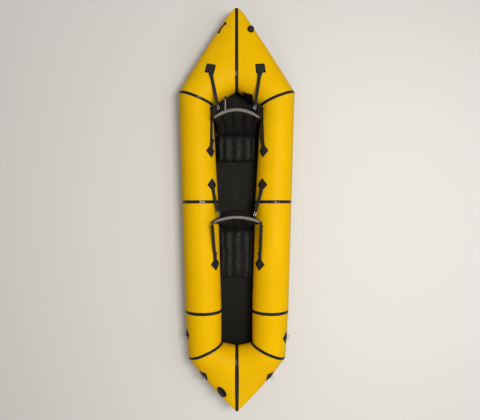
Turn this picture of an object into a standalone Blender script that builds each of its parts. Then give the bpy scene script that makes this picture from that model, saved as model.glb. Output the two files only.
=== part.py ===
# Two-seat open packraft: ten-panel inflated hull, flat floor, two inflated seats on webbing straps.
# +Y points to the stern, +Z up. The floor's underside is at Z 0, midway along the hull at Y 0.
import math

import bmesh
import bpy
from mathutils import Matrix, Vector
from mathutils.bvhtree import BVHTree

# Hull in plan, metres
hull_length = 3.35
stern_length = 0.693
bow_length = 0.413
stern_beam = 0.982
mid_beam = 0.926
fore_beam = 0.872
bow_beam = 0.820
mid_seam_y = 0.056
fore_seam_y = -0.863
stern_nose_setback = 0.017
bow_nose_setback = 0.089
stern_skew = 0.1105
bow_skew = 0.119

# Tube
tube_width = 0.305
stern_tube_width = 0.285
bow_tube_width = 0.278
stern_height = 0.300
bow_height = 0.292
fabric_wall = 0.0010
tape_wall = 0.0008
tape_width = 0.026
floor_wall = 0.0012
floor_lap = 0.014

# Pointed ends
stern_tip_radius = 0.055
bow_tip_radius = 0.042
stern_tip_rise = 0.085
bow_tip_rise = 0.130
stern_tip_half_width = 0.030
bow_tip_half_width = 0.008
stern_side_bulge = 0.004
bow_side_bulge = 0.011
stern_round_share = 0.12
bow_round_share = 0.05
taper_power = 3

# Clearances
joint_gap = 0.0003
surface_gap = 0.0005
patch_gap = 0.0009
bow_patch_gap = 0.0007
seat_side_gap = 0.008

# Seats
pad_width = 0.330
pad_thickness = 0.090
pad_flat = 0.004
channel_pitch = 0.080
channel_width = 0.016
channel_depth = 0.022
pad_pucker = 0.012
pad_plan_power = 0.5
pad_section_power = 0.6
edge_fall_share = 0.72
edge_power = 9
aft_pad_length = 0.198
fore_pad_length = 0.418
aft_hinge_setback = 0.315
fore_hinge_setback = 0.211
aft_recline = 24
fore_recline = 15
back_height = 0.330
back_foot_radius = 0.025
back_top_thickness = 0.030
back_channel_depth = 0.009
back_bulge = 0.075
back_top_share = 0.8
bulge_power = 1.5
wing_power = 1.2
aft_back_half_width = 0.185
fore_back_half_width = 0.208
aft_wing_reach = 0.070
fore_wing_reach = 0.048
wing_clearance = 0.013
wing_droop = 0.014
band_width = 0.027
band_wall = 0.0025

# Webbing, patches and fittings
strap_width = 0.024
strap_wall = 0.0018
strap_lift = 0.0035
strap_end_gap = 0.009
strap_turn_radius = 0.020
strap_start_gap = 0.001
strap_turn_angle = 120
steepest_share = 0.3
patch_size = 0.080
patch_wall = 0.0015
buckle_length = 0.034
buckle_width = 0.032
buckle_height = 0.009
buckle_reach = 0.046
hook_length = 0.030
hook_width = 0.018
hook_height = 0.005
ring_wire = 0.0045
ring_inside = 0.030
ring_reach = 0.030
ring_play = 0.0006
sleeve_wall = 0.0015
sleeve_length = 0.020
overlap = 0.0006
overrun = 0.010

# Valve, oral tubes, handle, strap and flap
valve_base_diameter = 0.060
base_wall = 0.0025
valve_neck_radius = 0.021
valve_neck_height = 0.014
valve_bore_radius = 0.013
valve_bore_depth = 0.009
cap_radius = 0.026
cap_skirt = 0.008
cap_crown = 0.004
cap_edge = 0.0015
cap_play = 0.0006
cap_lug_height = 0.005
cap_lug_width = 0.008
oral_radius = 0.0045
aft_oral_bend = 0.085
aft_oral_height = 0.235
aft_oral_side = 0.095
fore_oral_bend = 0.022
fore_oral_height = 0.100
fore_oral_side = 0.030
oral_seat_gap = 0.0009
oral_straight = 0.014
oral_turn = 80
mouth_radius = 0.0075
mouth_length = 0.024
mouth_lap = 0.010
mouth_tip_radius = 0.0045
mouth_lug_reach = 0.005
mouth_lug_width = 0.003
handle_patch_length = 0.105
handle_patch_width = 0.060
handle_length = 0.092
handle_rise = 0.026
handle_strap_width = 0.024
handle_strap_wall = 0.005
grab_length = 0.110
grab_width = 0.014
grab_wall = 0.003
flap_width = 0.075
flap_height = 0.085

# How finely curves are cut
around = 24
tube_patch_cells = 4
end_patch_cells = 6
turn_steps = 24
sleeve_steps = 16
mouth_steps = 12
bend_steps = 8
handle_steps = 12
strap_turn_steps = 5
strap_samples = 24
pad_ring_points = 16
fine_around = 96
fine_along = 120
slope_step_share = 0.01
weld_share = 0.01
sharp_angle = 40
end_shares = (0, 0.18, 0.38, 0.60, 0.82, 1)
side_shares = (0, 1)
tape_low_angle = -60
underside_angles = range(-120, -44, 5)

# Colours
yellow = (0.84, 0.51, 0.0)
tape_black = (0.012, 0.012, 0.012)
floor_black = (0.018, 0.017, 0.015)
seat_black = (0.022, 0.022, 0.024)
webbing_black = (0.015, 0.015, 0.014)
band_grey = (0.20, 0.19, 0.18)
steel = (0.60, 0.60, 0.58)
plastic_black = (0.02, 0.02, 0.02)
pale_tube = (0.55, 0.55, 0.52)

stern_corner_y = hull_length / 2 - stern_length
bow_corner_y = bow_length - hull_length / 2
hull_bottom = floor_wall + joint_gap

# Six stations run along one side: stern middle, stern corner, mid seam, fore seam, bow corner, bow
# middle. A place of 1.5 is halfway between the stern corner and the mid seam.
last_place = 5
side_stations = (
    (stern_beam, stern_corner_y, stern_tube_width, stern_skew, stern_height),
    (mid_beam, mid_seam_y, tube_width, 0, tube_width),
    (fore_beam, fore_seam_y, tube_width, 0, tube_width),
    (bow_beam, bow_corner_y, bow_tube_width, -bow_skew, bow_height),
)
stern_end = {
    "nose": stern_corner_y + stern_nose_setback,
    "tip": hull_length / 2,
    "tip_radius": stern_tip_radius,
    "rise": stern_tip_rise,
    "half_width": stern_tip_half_width,
    "bulge": stern_side_bulge,
    "round_share": stern_round_share,
}
bow_end = {
    "nose": bow_corner_y + bow_nose_setback,
    "tip": -hull_length / 2,
    "tip_radius": bow_tip_radius,
    "rise": bow_tip_rise,
    "half_width": bow_tip_half_width,
    "bulge": bow_side_bulge,
    "round_share": bow_round_share,
}

# Where the fittings sit: place along the side, degrees round the tube from its inner side over the
# top, and the turn of the patch in its own plane
anchor_shares = {
    "aft_rear_left": (0.55, 104, -32),
    "aft_rear_right": (0.51, 100, -42),
    "aft_front_left": (1.49, 38, 45),
    "aft_front_right": (1.49, 42, 45),
    "fore_rear_left": (1.83, 40, 45),
    "fore_rear_right": (1.83, 44, 45),
    "fore_front_left": (2.56, 38, 45),
    "fore_front_right": (2.56, 44, 45),
}
ring_shares = {
    "fore_ring_left": (3.48, 162, 45),
    "fore_ring_right": (3.54, 155, 45),
    "bow_ring_left": (4.32, 152, 45),
    "bow_ring_right": (4.33, 156, 45),
}
valve_share = (0.20, 152, 0)
grab_share = (0.205, 158, 0)
handle_share = (4.70, 142, 0)
flap_share = (0.45, 14, 0)

# The rings' rest, degrees up from lying against the tube
ring_lift = 35

# Where the straps meet the backrests: share of the half width, share of the height
rear_strap_shares = {"aft": (0.77, 0.86), "fore": (0.72, 0.84)}
front_strap_shares = {"aft": (0.95, 0.80), "fore": (0.95, 0.95)}

# Where the aft seat's front straps leave the tube and turn in behind the backrest: place, degrees
aft_turn_share = (1.06, 26)

# Stations across a cushion, and heights up a backrest
cushion_shares = (-1, -0.93, -0.82, -0.73, -0.6, -0.48, -0.36, -0.24, -0.12)
back_shares = (0, 0.16, 0.34, 0.54, 0.74, 0.92)


def lerp(a, b, t):
    return a + (b - a) * t


def mirrored(point):
    return Vector((-point.x, point.y, point.z))


def power_curve(value, power):
    return math.copysign(abs(value) ** power, value)


# Hull surface


def side_station(number):
    beam, y, width, skew, height = side_stations[number]
    outer = Vector((beam / 2, y))
    inner = Vector((beam / 2 - width, y - skew))
    return inner, outer, height


def end_outline(corner, end, u):
    """A point of the outline from a corner to the tip: straight, a little full, rounded at the tip."""
    tip = Vector((end["half_width"], end["tip"]))
    turn = 1 - end["round_share"]
    line = tip - corner
    if u < turn:
        out = Vector((abs(line.y), math.copysign(line.x, -line.x * line.y))).normalized()
        return corner + line * u + out * end["bulge"] * math.sin(math.pi * u / turn)
    t = (u - turn) / end["round_share"]
    start = corner + line * turn
    middle = Vector((0, end["tip"]))
    return start * (1 - t) ** 2 + tip * 2 * t * (1 - t) + middle * t**2


def taper_height(end, nose_radius, angle):
    w = ((1 - math.cos(angle)) / 2) ** taper_power
    radius = lerp(nose_radius, end["tip_radius"], w)
    return nose_radius + end["rise"] * w + radius * math.sin(angle)


def lowest_taper(end, nose_radius):
    angles = [2 * math.pi * i / around for i in range(around)]
    return min(taper_height(end, nose_radius, angle) for angle in angles)


def hull_point(place, angle):
    """A point of the right half's outside. Angle 0 is the inner side, a quarter turn is the top."""
    if place < 0:
        return mirrored(hull_point(-place, angle))
    if place > last_place:
        return mirrored(hull_point(2 * last_place - place, angle))
    end = None
    if place < 1:
        end = stern_end
        u = 1 - place
        inner, outer, height = side_station(0)
    elif place > last_place - 1:
        end = bow_end
        u = place - last_place + 1
        inner, outer, height = side_station(3)
    if end:
        inner = lerp(inner, Vector((0, end["nose"])), u)
        outer = end_outline(outer, end, u)
    else:
        number = min(int(place) - 1, 2)
        t = place - 1 - number
        ends = zip(side_station(number), side_station(number + 1))
        inner, outer, height = [lerp(a, b, t) for a, b in ends]
    length = (outer - inner).length
    along = length / 2 * (1 - math.cos(angle))
    up = height / 2 * (1 + math.sin(angle))
    if end:
        nose = height / 2
        w = ((1 - math.cos(angle)) / 2) ** taper_power
        radius = lerp(nose, end["tip_radius"], w)
        taper_along = lerp(nose, length - end["tip_radius"], w) - radius * math.cos(angle)
        taper_up = taper_height(end, nose, angle) - lowest_taper(end, nose)
        along = lerp(along, taper_along, u)
        up = lerp(up, taper_up, u)
    flat = inner + (outer - inner) * along / length
    return Vector((flat.x, flat.y, up + hull_bottom))


def hull_normal(place, angle):
    step = slope_step_share
    run = hull_point(place + step, angle) - hull_point(place - step, angle)
    turn = hull_point(place, angle + step) - hull_point(place, angle - step)
    return run.cross(turn).normalized()


def hull_frame(place, angle, side, lift=0.0, turn=0.0):
    """Origin on the hull, Z out of it, Y along the tube to the stern, turned about Z."""
    normal = hull_normal(place, angle)
    step = slope_step_share
    aft = hull_point(place - step, angle) - hull_point(place + step, angle)
    point = hull_point(place, angle) + normal * lift
    if side < 0:
        normal, aft, point = mirrored(normal), mirrored(aft), mirrored(point)
    y_axis = (aft - normal * aft.dot(normal)).normalized()
    x_axis = y_axis.cross(normal)
    frame = Matrix((x_axis, y_axis, normal)).transposed().to_4x4()
    return Matrix.Translation(point) @ frame @ Matrix.Rotation(math.radians(turn) * side, 4, "Z")


def clear_half_width(y, z, clearance):
    """Half the gap between the tubes at this height, less a clearance; wide open above them."""
    stations = [side_station(i) for i in range(4)]
    for (in_a, out_a, high_a), (in_b, out_b, high_b) in zip(stations, stations[1:]):
        mid_a, mid_b = (in_a + out_a) / 2, (in_b + out_b) / 2
        if y >= mid_b.y or in_b is stations[-1][0]:
            t = min(max((mid_a.y - y) / (mid_a.y - mid_b.y), 0), 1)
            break
    middle = lerp(mid_a.x, mid_b.x, t)
    half = lerp((out_a - in_a).length, (out_b - in_b).length, t) / 2 + clearance
    radius = lerp(high_a, high_b, t) / 2
    share = min(abs(z - hull_bottom - radius) / (radius + clearance), 1)
    return middle - half * math.sqrt(1 - share**2)


def hull_tree():
    """A fine copy of the hull's outside, to lay straps and fittings on."""
    points, faces = [], []
    for side in (1, -1):
        start = len(points)
        for i in range(fine_along + 1):
            for j in range(fine_around):
                point = hull_point(last_place * i / fine_along, 2 * math.pi * j / fine_around)
                points.append(point if side > 0 else mirrored(point))
        for i in range(fine_along):
            for j in range(fine_around):
                a = start + i * fine_around + j
                b = start + i * fine_around + (j + 1) % fine_around
                face = (a, a + fine_around, b + fine_around, b)
                faces.append(face if side > 0 else face[::-1])
    return BVHTree.FromPolygons(points, faces)


# Objects


def clear_scene():
    for obj in list(bpy.data.objects):
        bpy.data.objects.remove(obj)


def material(name, colour, roughness, metallic=0.0):
    made = bpy.data.materials.get(name)
    if made:
        return made
    made = bpy.data.materials.new(name)
    made.use_nodes = True
    shader = made.node_tree.nodes["Principled BSDF"]
    shader.inputs["Base Color"].default_value = (*colour, 1)
    shader.inputs["Roughness"].default_value = roughness
    shader.inputs["Metallic"].default_value = metallic
    return made


def fabric():
    return material("coated_fabric", yellow, 0.42)


def tape():
    return material("seam_tape", tape_black, 0.35)


def webbing():
    return material("webbing", webbing_black, 0.8)


def plastic():
    return material("moulded_plastic", plastic_black, 0.45)


def metal():
    return material("metal", steel, 0.25, 1.0)


def seat_fabric():
    return material("seat_fabric", seat_black, 0.7)


def pale():
    return material("oral_tube", pale_tube, 0.4)


def add_object(name, mesh, surface, parent=None, matrix=None):
    obj = bpy.data.objects.new(name, mesh)
    parts.objects.link(obj)
    if not mesh.materials:
        mesh.materials.append(surface)
    if parent:
        obj.parent = parent
    if matrix is not None:
        obj.matrix_basis = matrix
    return obj


def mesh_from(name, points, faces):
    mesh = bpy.data.meshes.new(name)
    mesh.from_pydata([tuple(p) for p in points], [], faces)
    mesh.shade_smooth()
    mesh.set_sharp_from_angle(angle=math.radians(sharp_angle))
    return mesh


def add_wall(obj, thickness, offset):
    wall = obj.modifiers.new("wall", "SOLIDIFY")
    wall.thickness = thickness
    wall.offset = offset


def grid_faces(rows, columns, closed=False, looped=False):
    """Quads between rows of points. Closed joins each row's end to its start, looped the last row to
    the first."""
    faces = []
    for i in range(rows - (0 if looped else 1)):
        start = i * columns
        below = (i + 1) % rows * columns
        for j in range(columns - (0 if closed else 1)):
            k = (j + 1) % columns
            faces.append((start + j, below + j, below + k, start + k))
    return faces


def flipped(faces):
    return [face[::-1] for face in faces]


def evaluated_mesh(obj):
    graph = bpy.context.evaluated_depsgraph_get()
    return bpy.data.meshes.new_from_object(obj.evaluated_get(graph))


def add_cutter(name, mesh, matrix=None):
    obj = bpy.data.objects.new(name, mesh)
    cutters.objects.link(obj)
    obj.hide_render = True
    obj.display_type = "WIRE"
    if matrix is not None:
        obj.matrix_basis = matrix
    return obj


def boolean(obj, other, operation):
    modifier = obj.modifiers.new(operation.lower(), "BOOLEAN")
    modifier.operation = operation
    modifier.solver = "EXACT"
    modifier.object = other


def box_mesh(name, low, high):
    mesh = bpy.data.meshes.new(name)
    work = bmesh.new()
    bmesh.ops.create_cube(work, size=1)
    for vert in work.verts:
        vert.co = Vector(lerp(a, b, c + 0.5) for a, b, c in zip(low, high, vert.co))
    work.to_mesh(mesh)
    work.free()
    return mesh


def closed_mesh(name, points, faces):
    """A closed mesh with its faces turned outwards."""
    mesh = mesh_from(name, points, faces)
    work = bmesh.new()
    work.from_mesh(mesh)
    bmesh.ops.recalc_face_normals(work, faces=work.faces)
    work.to_mesh(mesh)
    work.free()
    return mesh


def loft_mesh(name, sections, cap=None):
    """Rings of points joined in a row. Each end is one flat face, or the faces listed in cap."""
    count = len(sections[0])
    points = [point for section in sections for point in section]
    faces = grid_faces(len(sections), count, closed=True)
    for face in cap or [tuple(range(count))]:
        faces.append(face)
        faces.append(tuple(len(points) - count + corner for corner in face))
    return closed_mesh(name, points, faces)


def turned_mesh(name, profile, steps):
    """A profile of (radius, height) points turned about Z, with flat ends."""
    rings = []
    for radius, height in profile:
        angles = [2 * math.pi * i / steps for i in range(steps)]
        rings.append([Vector((radius * math.cos(a), radius * math.sin(a), height)) for a in angles])
    return loft_mesh(name, rings)


def wire_mesh(name, points, radius, cyclic):
    """A round wire along points, as a mesh with welded ends."""
    curve = bpy.data.curves.new(name, "CURVE")
    curve.dimensions = "3D"
    spline = curve.splines.new("POLY")
    spline.points.add(len(points) - 1)
    for slot, point in zip(spline.points, points):
        slot.co = (*point, 1)
    spline.use_cyclic_u = cyclic
    curve.bevel_depth = radius
    curve.bevel_resolution = 2
    curve.use_fill_caps = not cyclic
    obj = bpy.data.objects.new(name, curve)
    cutters.objects.link(obj)
    mesh = evaluated_mesh(obj)
    bpy.data.objects.remove(obj)
    work = bmesh.new()
    work.from_mesh(mesh)
    bmesh.ops.remove_doubles(work, verts=work.verts, dist=radius * weld_share)
    bmesh.ops.recalc_face_normals(work, faces=work.faces)
    work.to_mesh(mesh)
    work.free()
    return mesh


# Hull


def bay_shares(bay):
    return end_shares if bay in (0, last_place - 1) else side_shares


def circle_angles():
    return [2 * math.pi * j / around for j in range(around)]


def towards(start, far, distance):
    return start + (far - start).normalized() * distance


def panel_rings(bay, angles):
    """Rings of a panel, with one more at each end where the edge of the seam's tape lies."""
    rings = [[hull_point(bay + share, angle) for angle in angles] for share in bay_shares(bay)]
    half = tape_width / 2
    first = [towards(a, b, joint_gap / 2) for a, b in zip(rings[0], rings[1])]
    first_edge = [towards(a, b, half) for a, b in zip(rings[0], rings[1])]
    last_edge = [towards(a, b, half) for a, b in zip(rings[-1], rings[-2])]
    last = [towards(a, b, joint_gap / 2) for a, b in zip(rings[-1], rings[-2])]
    return [first, first_edge, *rings[1:-1], last_edge, last]


def inward(place, angle):
    """Unit vector into the tube, in the upright plane of the section."""
    across = hull_point(place, math.pi) - hull_point(place, 0)
    plane = Vector((-across.y, across.x, 0)).normalized()
    normal = hull_normal(place, angle)
    return (plane * normal.dot(plane) - normal).normalized()


def add_panel(name, bay, side):
    """A shell with two open ends. Its wall ends in the plane of each seam."""
    angles = circle_angles()
    outside = panel_rings(bay, angles)
    shares = bay_shares(bay)
    places = [bay + share for share in (shares[0], *shares, shares[-1])]
    inside = [
        [point + inward(place, angle) * fabric_wall for point, angle in zip(ring, angles)]
        for ring, place in zip(outside, places)
    ]
    points = []
    for ring in outside + inside[::-1]:
        for point in ring:
            point.x = max(point.x, joint_gap / 2)
            points.append(point if side > 0 else mirrored(point))
    faces = grid_faces(2 * len(outside), around, closed=True, looped=True)
    if side < 0:
        faces = flipped(faces)
    # The inner wall's quads start one corner on, so that both walls fold along the same diagonals
    outer = (len(outside) - 1) * around
    faces = faces[:outer] + [(*face[1:], face[0]) for face in faces[outer:]]
    return add_object(name, mesh_from(name, points, faces), fabric(), hull)


def seam_neighbours(seam):
    """The next ring of the panel on each side of a seam."""
    before = seam - 1 + bay_shares(seam - 1)[-2] if seam > 0 else -end_shares[1]
    after = seam + bay_shares(seam)[1] if seam < last_place else last_place + 1 - end_shares[-2]
    return before, after


def add_tape(name, seam, side):
    """A tape over a seam, round the tube but for its underside, where the floor is."""
    step = 360 // around
    angles = [math.radians(a) for a in range(tape_low_angle, 181 - tape_low_angle, step)]
    rows = []
    for neighbour in seam_neighbours(seam):
        row = []
        for angle in angles:
            start = hull_point(seam, angle)
            far = hull_point(neighbour, angle)
            share = tape_width / 2 / (far - start).length
            normal = hull_normal(lerp(seam, neighbour, share), angle)
            row.append(lerp(start, far, share) + normal * surface_gap)
        rows.append(row)
    middle = [hull_point(seam, angle) + hull_normal(seam, angle) * surface_gap for angle in angles]
    rows.insert(1, middle)
    points = [point if side > 0 else mirrored(point) for row in rows for point in row]
    faces = grid_faces(len(rows), len(angles))
    if side < 0:
        faces = flipped(faces)
    obj = add_object(name, mesh_from(name, points, faces), tape(), hull)
    add_wall(obj, tape_wall, 1)
    return obj


def lowest_angle(place):
    angles = [math.radians(a) for a in underside_angles]
    return min(angles, key=lambda angle: hull_point(place, angle).z)


def add_floor():
    """Flat sheet that laps a little outside the line on which the tubes rest."""
    places = [i / 4 for i in range(4 * last_place + 1)]
    right = []
    for place in places:
        point = hull_point(place, lowest_angle(place))
        outer = hull_point(place, math.pi)
        inner = hull_point(place, 0)
        out = Vector((outer.x - inner.x, outer.y - inner.y)).normalized()
        right.append(Vector((point.x + out.x * floor_lap, point.y + out.y * floor_lap, 0)))
    right[0].x = right[-1].x = 0
    outline = right + [mirrored(point) for point in reversed(right[1:-1])]
    mesh = mesh_from("floor_sheet", outline, [tuple(range(len(outline)))])
    obj = add_object("floor_sheet", mesh, material("floor_fabric", floor_black, 0.6), hull)
    add_wall(obj, floor_wall, -1)
    return obj


# Patches


def square_corners(width, length):
    return lambda a, b: Vector((a * width / 2, b * length / 2, 0))


def oval_corners(width, length):
    def corners(a, b):
        x = a * math.sqrt(1 - b * b / 2)
        y = b * math.sqrt(1 - a * a / 2)
        return Vector((x * width / 2, y * length / 2, 0))

    return corners


def laid_point(point, lift):
    """The nearest point of the hull, lifted off it."""
    spot, facing = tree.find_nearest(point)[:2]
    return spot + facing * lift


def patch_lift(place):
    """A patch's gap to the hull: wider on the bow, whose surface is twisted."""
    return bow_patch_gap if place > last_place - 1 else patch_gap


def add_patch(name, share, side, corners, surface, wall):
    """A sheet laid on the hull. Corners maps shares of -1 to 1 on both axes to its plane."""
    place, angle, turn = share
    frame = hull_frame(place, math.radians(angle), side, 0, turn)
    cells = tube_patch_cells if 1 < place < last_place - 1 else end_patch_cells
    lift = patch_lift(place)
    points = []
    for i in range(cells + 1):
        for j in range(cells + 1):
            flat = corners(2 * j / cells - 1, 2 * i / cells - 1)
            points.append(laid_point(frame @ flat, lift))
    faces = flipped(grid_faces(cells + 1, cells + 1))
    obj = add_object(name, mesh_from(name, points, faces), surface, hull)
    add_wall(obj, wall, 1)
    return obj


def fitting_frame(share, side, lift):
    place, angle, turn = share
    return hull_frame(place, math.radians(angle), side, lift, turn)


# Seats


def groove(share, pitch_share):
    """Depth of the sewn channels across a cushion, 1 on a seam and 0 between seams."""
    width_share = channel_width / channel_pitch * pitch_share
    return max(math.exp(-(((abs(share) - n * pitch_share) / width_share) ** 2)) for n in (0.5, 1.5))


def across_shares():
    return [*cushion_shares, 0, *[-share for share in reversed(cushion_shares)]]


def edge_fall(share):
    """A cushion's height towards its sides, as a share."""
    return math.sqrt(max(1 - edge_fall_share * abs(share) ** edge_power, 0))


def add_pad(seat):
    half = pad_width / 2
    pitch_share = channel_pitch / half
    middle_y = seat["hinge_y"] - back_foot_radius - surface_gap - seat["pad_length"] / 2
    low = floor_wall + joint_gap
    sections = []
    for share in across_shares():
        seam = groove(share, pitch_share)
        ring = []
        for i in range(pad_ring_points):
            angle = 2 * math.pi * i / pad_ring_points
            v = power_curve(math.cos(angle), pad_plan_power)
            w = power_curve(math.sin(angle), pad_section_power)
            reach = seat["pad_length"] / 2 - (pad_pucker * seam if v < 0 else 0)
            y = middle_y + v * reach
            rise = pad_thickness / 2 * edge_fall(share) - (channel_depth / 2 * seam if w > 0 else 0)
            z = low + pad_thickness / 2 - pad_flat + w * rise
            x = share * min(half, clear_half_width(y, low + pad_thickness, seat_side_gap))
            ring.append(Vector((x, y, max(z, low))))
        sections.append(ring)
    mesh = loft_mesh("seat_pad", sections)
    return add_object(f"{seat['name']}_seat_pad", mesh, seat_fabric(), hull)


def back_wing(seat, share, height):
    """How far the backrest's sides come forward."""
    up = max((height - pad_thickness) / (back_height - pad_thickness), 0)
    return seat["wing_reach"] * share**2 * up**wing_power


def back_half_width(seat, y, height):
    """Half the backrest's width at a point, clear of the tubes."""
    world = seat["matrix"] @ Vector((0, y, height))
    z = max(world.z, hull_bottom + tube_width / 2)
    return min(seat["half_width"], clear_half_width(world.y, z, wing_clearance))


def back_point(seat, share, height, depth):
    """A point of the backrest in its own frame: depth is behind its middle plane."""
    up = height - wing_droop * share**2 * max(height, 0) / back_height
    y = depth - back_wing(seat, share, height)
    return Vector((share * back_half_width(seat, y, up), y, up))


def front_depth(share, height):
    up = height / back_height
    seam = groove(share, channel_pitch / aft_back_half_width)
    thick = lerp(back_foot_radius, back_top_thickness / 2, up)
    return -thick * edge_fall(share) + back_channel_depth * seam * math.sin(math.pi * up)


def rear_depth(share, height):
    up = height / back_height
    thick = lerp(back_foot_radius, back_top_thickness / 2, up)
    return thick * edge_fall(share) + back_bulge * (1 - share**2) * math.sin(math.pi * up) ** bulge_power


def backrest_cap():
    """The faces of a backrest's side: strips from front to rear, the top and the foot."""
    levels = len(back_shares)
    rear = 2 * levels + 1
    strips = [(i, i + 1, rear - i - 1, rear - i) for i in range(levels - 1)]
    return [*strips, (levels - 1, levels, levels + 1, levels + 2), (rear, rear + 1, rear + 2, rear + 3, 0)]


def add_backrest(seat):
    sections = []
    heights = [up * back_height for up in back_shares]
    top_half = back_top_thickness / 2 * back_top_share
    lowest = 90 - seat["recline"]
    foot_angles = [math.radians(angle) for angle in (lowest / 2, lowest, 90 + lowest / 2)]
    for share in across_shares():
        ring = []
        for height in heights:
            ring.append(back_point(seat, share, height, front_depth(share, height)))
        ring.append(back_point(seat, share, back_height, -top_half * edge_fall(share)))
        ring.append(back_point(seat, share, back_height, top_half * edge_fall(share)))
        for height in reversed(heights):
            ring.append(back_point(seat, share, height, rear_depth(share, height)))
        for turn in foot_angles:
            radius = back_foot_radius * edge_fall(share)
            point = back_point(seat, share, 0, radius * math.cos(turn))
            point.z = -radius * math.sin(turn)
            ring.append(point)
        sections.append(ring)
    mesh = loft_mesh("backrest", sections, backrest_cap())
    obj = add_object(f"{seat['name']}_backrest", mesh, seat_fabric())
    obj.parent = seat["empty"]
    return obj


def add_band(seat):
    """Stiff strip over the backrest's top edge."""
    points = []
    shares = across_shares()
    for share in shares:
        top = back_point(seat, share, back_height, 0)
        for way in (-1, 1):
            points.append(Vector((top.x, top.y + way * band_width / 2, top.z + joint_gap)))
    mesh = mesh_from("back_band", points, grid_faces(len(shares), 2))
    obj = add_object(f"{seat['name']}_back_band", mesh, material("band", band_grey, 0.6))
    obj.parent = seat["empty"]
    add_wall(obj, band_wall, 1)
    return obj


# Straps


def upper_hull(pairs):
    """The taut line over (distance, height) pairs."""
    kept = []
    for pair in pairs:
        while len(kept) > 1:
            (x_a, z_a), (x_b, z_b) = kept[-2:]
            if (x_b - x_a) * (pair[1] - z_a) - (z_b - z_a) * (pair[0] - x_a) < 0:
                break
            kept.pop()
        kept.append(pair)
    return kept


def taut_points(start, end):
    """A line from start to end, straight in plan, pulled tight over the hull."""
    pairs = [(0, start.z)]
    for i in range(1, strap_samples):
        t = i / strap_samples
        spot = lerp(start, end, t)
        above = Vector((spot.x, spot.y, tube_width * 2))
        hit, facing = tree.ray_cast(above, Vector((0, 0, -1)))[:2]
        if hit and abs(facing.z) > steepest_share:
            pairs.append((t, hit.z + strap_lift / abs(facing.z)))
    pairs.append((1, end.z))
    return [Vector((*lerp(start, end, t).xy, z)) for t, z in upper_hull(pairs)]


def strap_rows(points):
    rows = []
    for i, point in enumerate(points):
        ahead = points[min(i + 1, len(points) - 1)] - points[max(i - 1, 0)]
        facing = tree.find_nearest(point)[1]
        across = ahead.cross(facing).normalized() * strap_width / 2
        rows += [point - across, point + across]
    return rows


def strap_end(key, seat, rear):
    """Where a strap is sewn on: behind the backrest, or before it on the fore seat's front straps."""
    share_x, share_up = (rear_strap_shares if rear else front_strap_shares)[seat["name"]]
    height = share_up * back_height
    depth = rear_depth(share_x, height) + strap_end_gap
    if seat["name"] == "fore" and not rear:
        depth = front_depth(share_x, height) - strap_end_gap
    end = back_point(seat, share_x, height, depth)
    if key.endswith("left"):
        end.x = -end.x
    return seat["matrix"] @ end


def heading_frame(key, target):
    """A frame on an anchor patch, Z out of the hull and Y towards the target."""
    side = 1 if key.endswith("right") else -1
    place, angle, _ = anchor_shares[key]
    base = hull_frame(place, math.radians(angle), side, patch_lift(place) + patch_wall - overlap)
    normal = base.to_3x3() @ Vector((0, 0, 1))
    run = target - base.translation
    y_axis = (run - normal * run.dot(normal)).normalized()
    turned = Matrix((y_axis.cross(normal), y_axis, normal)).transposed().to_4x4()
    return Matrix.Translation(base.translation) @ turned


def turn_points(key, seat, start):
    """The aft seat's front strap: up the tube, then round and in behind the backrest."""
    side = 1 if key.endswith("right") else -1
    place, angle = aft_turn_share
    slope = math.radians(angle)
    leave = hull_point(place, slope) + hull_normal(place, slope) * strap_lift
    end = strap_end(key, seat, False)
    centre = Vector((leave.x - strap_turn_radius, leave.y, leave.z))
    arc = []
    for i in range(strap_turn_steps + 1):
        turn = math.radians(strap_turn_angle) * i / strap_turn_steps
        spot = centre + Vector((math.cos(turn), math.sin(turn), 0)) * strap_turn_radius
        spot.z = lerp(leave.z, end.z, turn / math.pi)
        arc.append(spot)
    if side < 0:
        arc = [mirrored(spot) for spot in arc]
    return [*taut_points(start, arc[0]), *arc[1:], end]


def add_anchor(key, seat, rear):
    """A webbing patch welded to the hull, its buckle, and the strap from the buckle to the backrest."""
    side = 1 if key.endswith("right") else -1
    corners = square_corners(patch_size, patch_size)
    obj = add_patch(f"{key}_anchor", anchor_shares[key], side, corners, webbing(), patch_wall)
    turns = seat["name"] == "aft" and not rear
    end = strap_end(key, seat, rear)
    place, angle = aft_turn_share
    leave = hull_point(place, math.radians(angle))
    target = (leave if side > 0 else mirrored(leave)) if turns else end
    frame = heading_frame(key, target)
    far = buckle_reach + buckle_length / 2
    low = (-buckle_width / 2, buckle_reach - buckle_length / 2, 0)
    high = (buckle_width / 2, far, buckle_height)
    buckle = add_cutter(f"{key}_buckle", box_mesh("buckle", low, high), frame)
    boolean(obj, buckle, "UNION")
    start = frame @ Vector((0, far + strap_start_gap, buckle_height / 2))
    points = turn_points(key, seat, start) if turns else taut_points(start, end)
    mesh = mesh_from("strap", strap_rows(points), grid_faces(len(points), 2))
    strap = add_object(f"{key}_strap", mesh, webbing(), hull)
    add_wall(strap, strap_wall, 0)
    if rear:
        add_hook(key, strap, points)


def add_hook(key, strap, points):
    """A metal hook on the end of a rear strap, in line with it."""
    end, before = points[-1], points[-2]
    y_axis = (end - before).normalized()
    x_axis = y_axis.cross(tree.find_nearest(end)[1]).normalized()
    frame = Matrix((x_axis, y_axis, x_axis.cross(y_axis))).transposed().to_4x4()
    matrix = Matrix.Translation(end) @ frame
    low = (-hook_width / 2, -hook_length, -hook_height / 2)
    high = (hook_width / 2, -joint_gap, hook_height / 2)
    hook = add_cutter(f"{key}_hook", box_mesh("hook", low, high), matrix)
    boolean(strap, hook, "UNION")


# Rings, valve, handle and oral tubes


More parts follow.
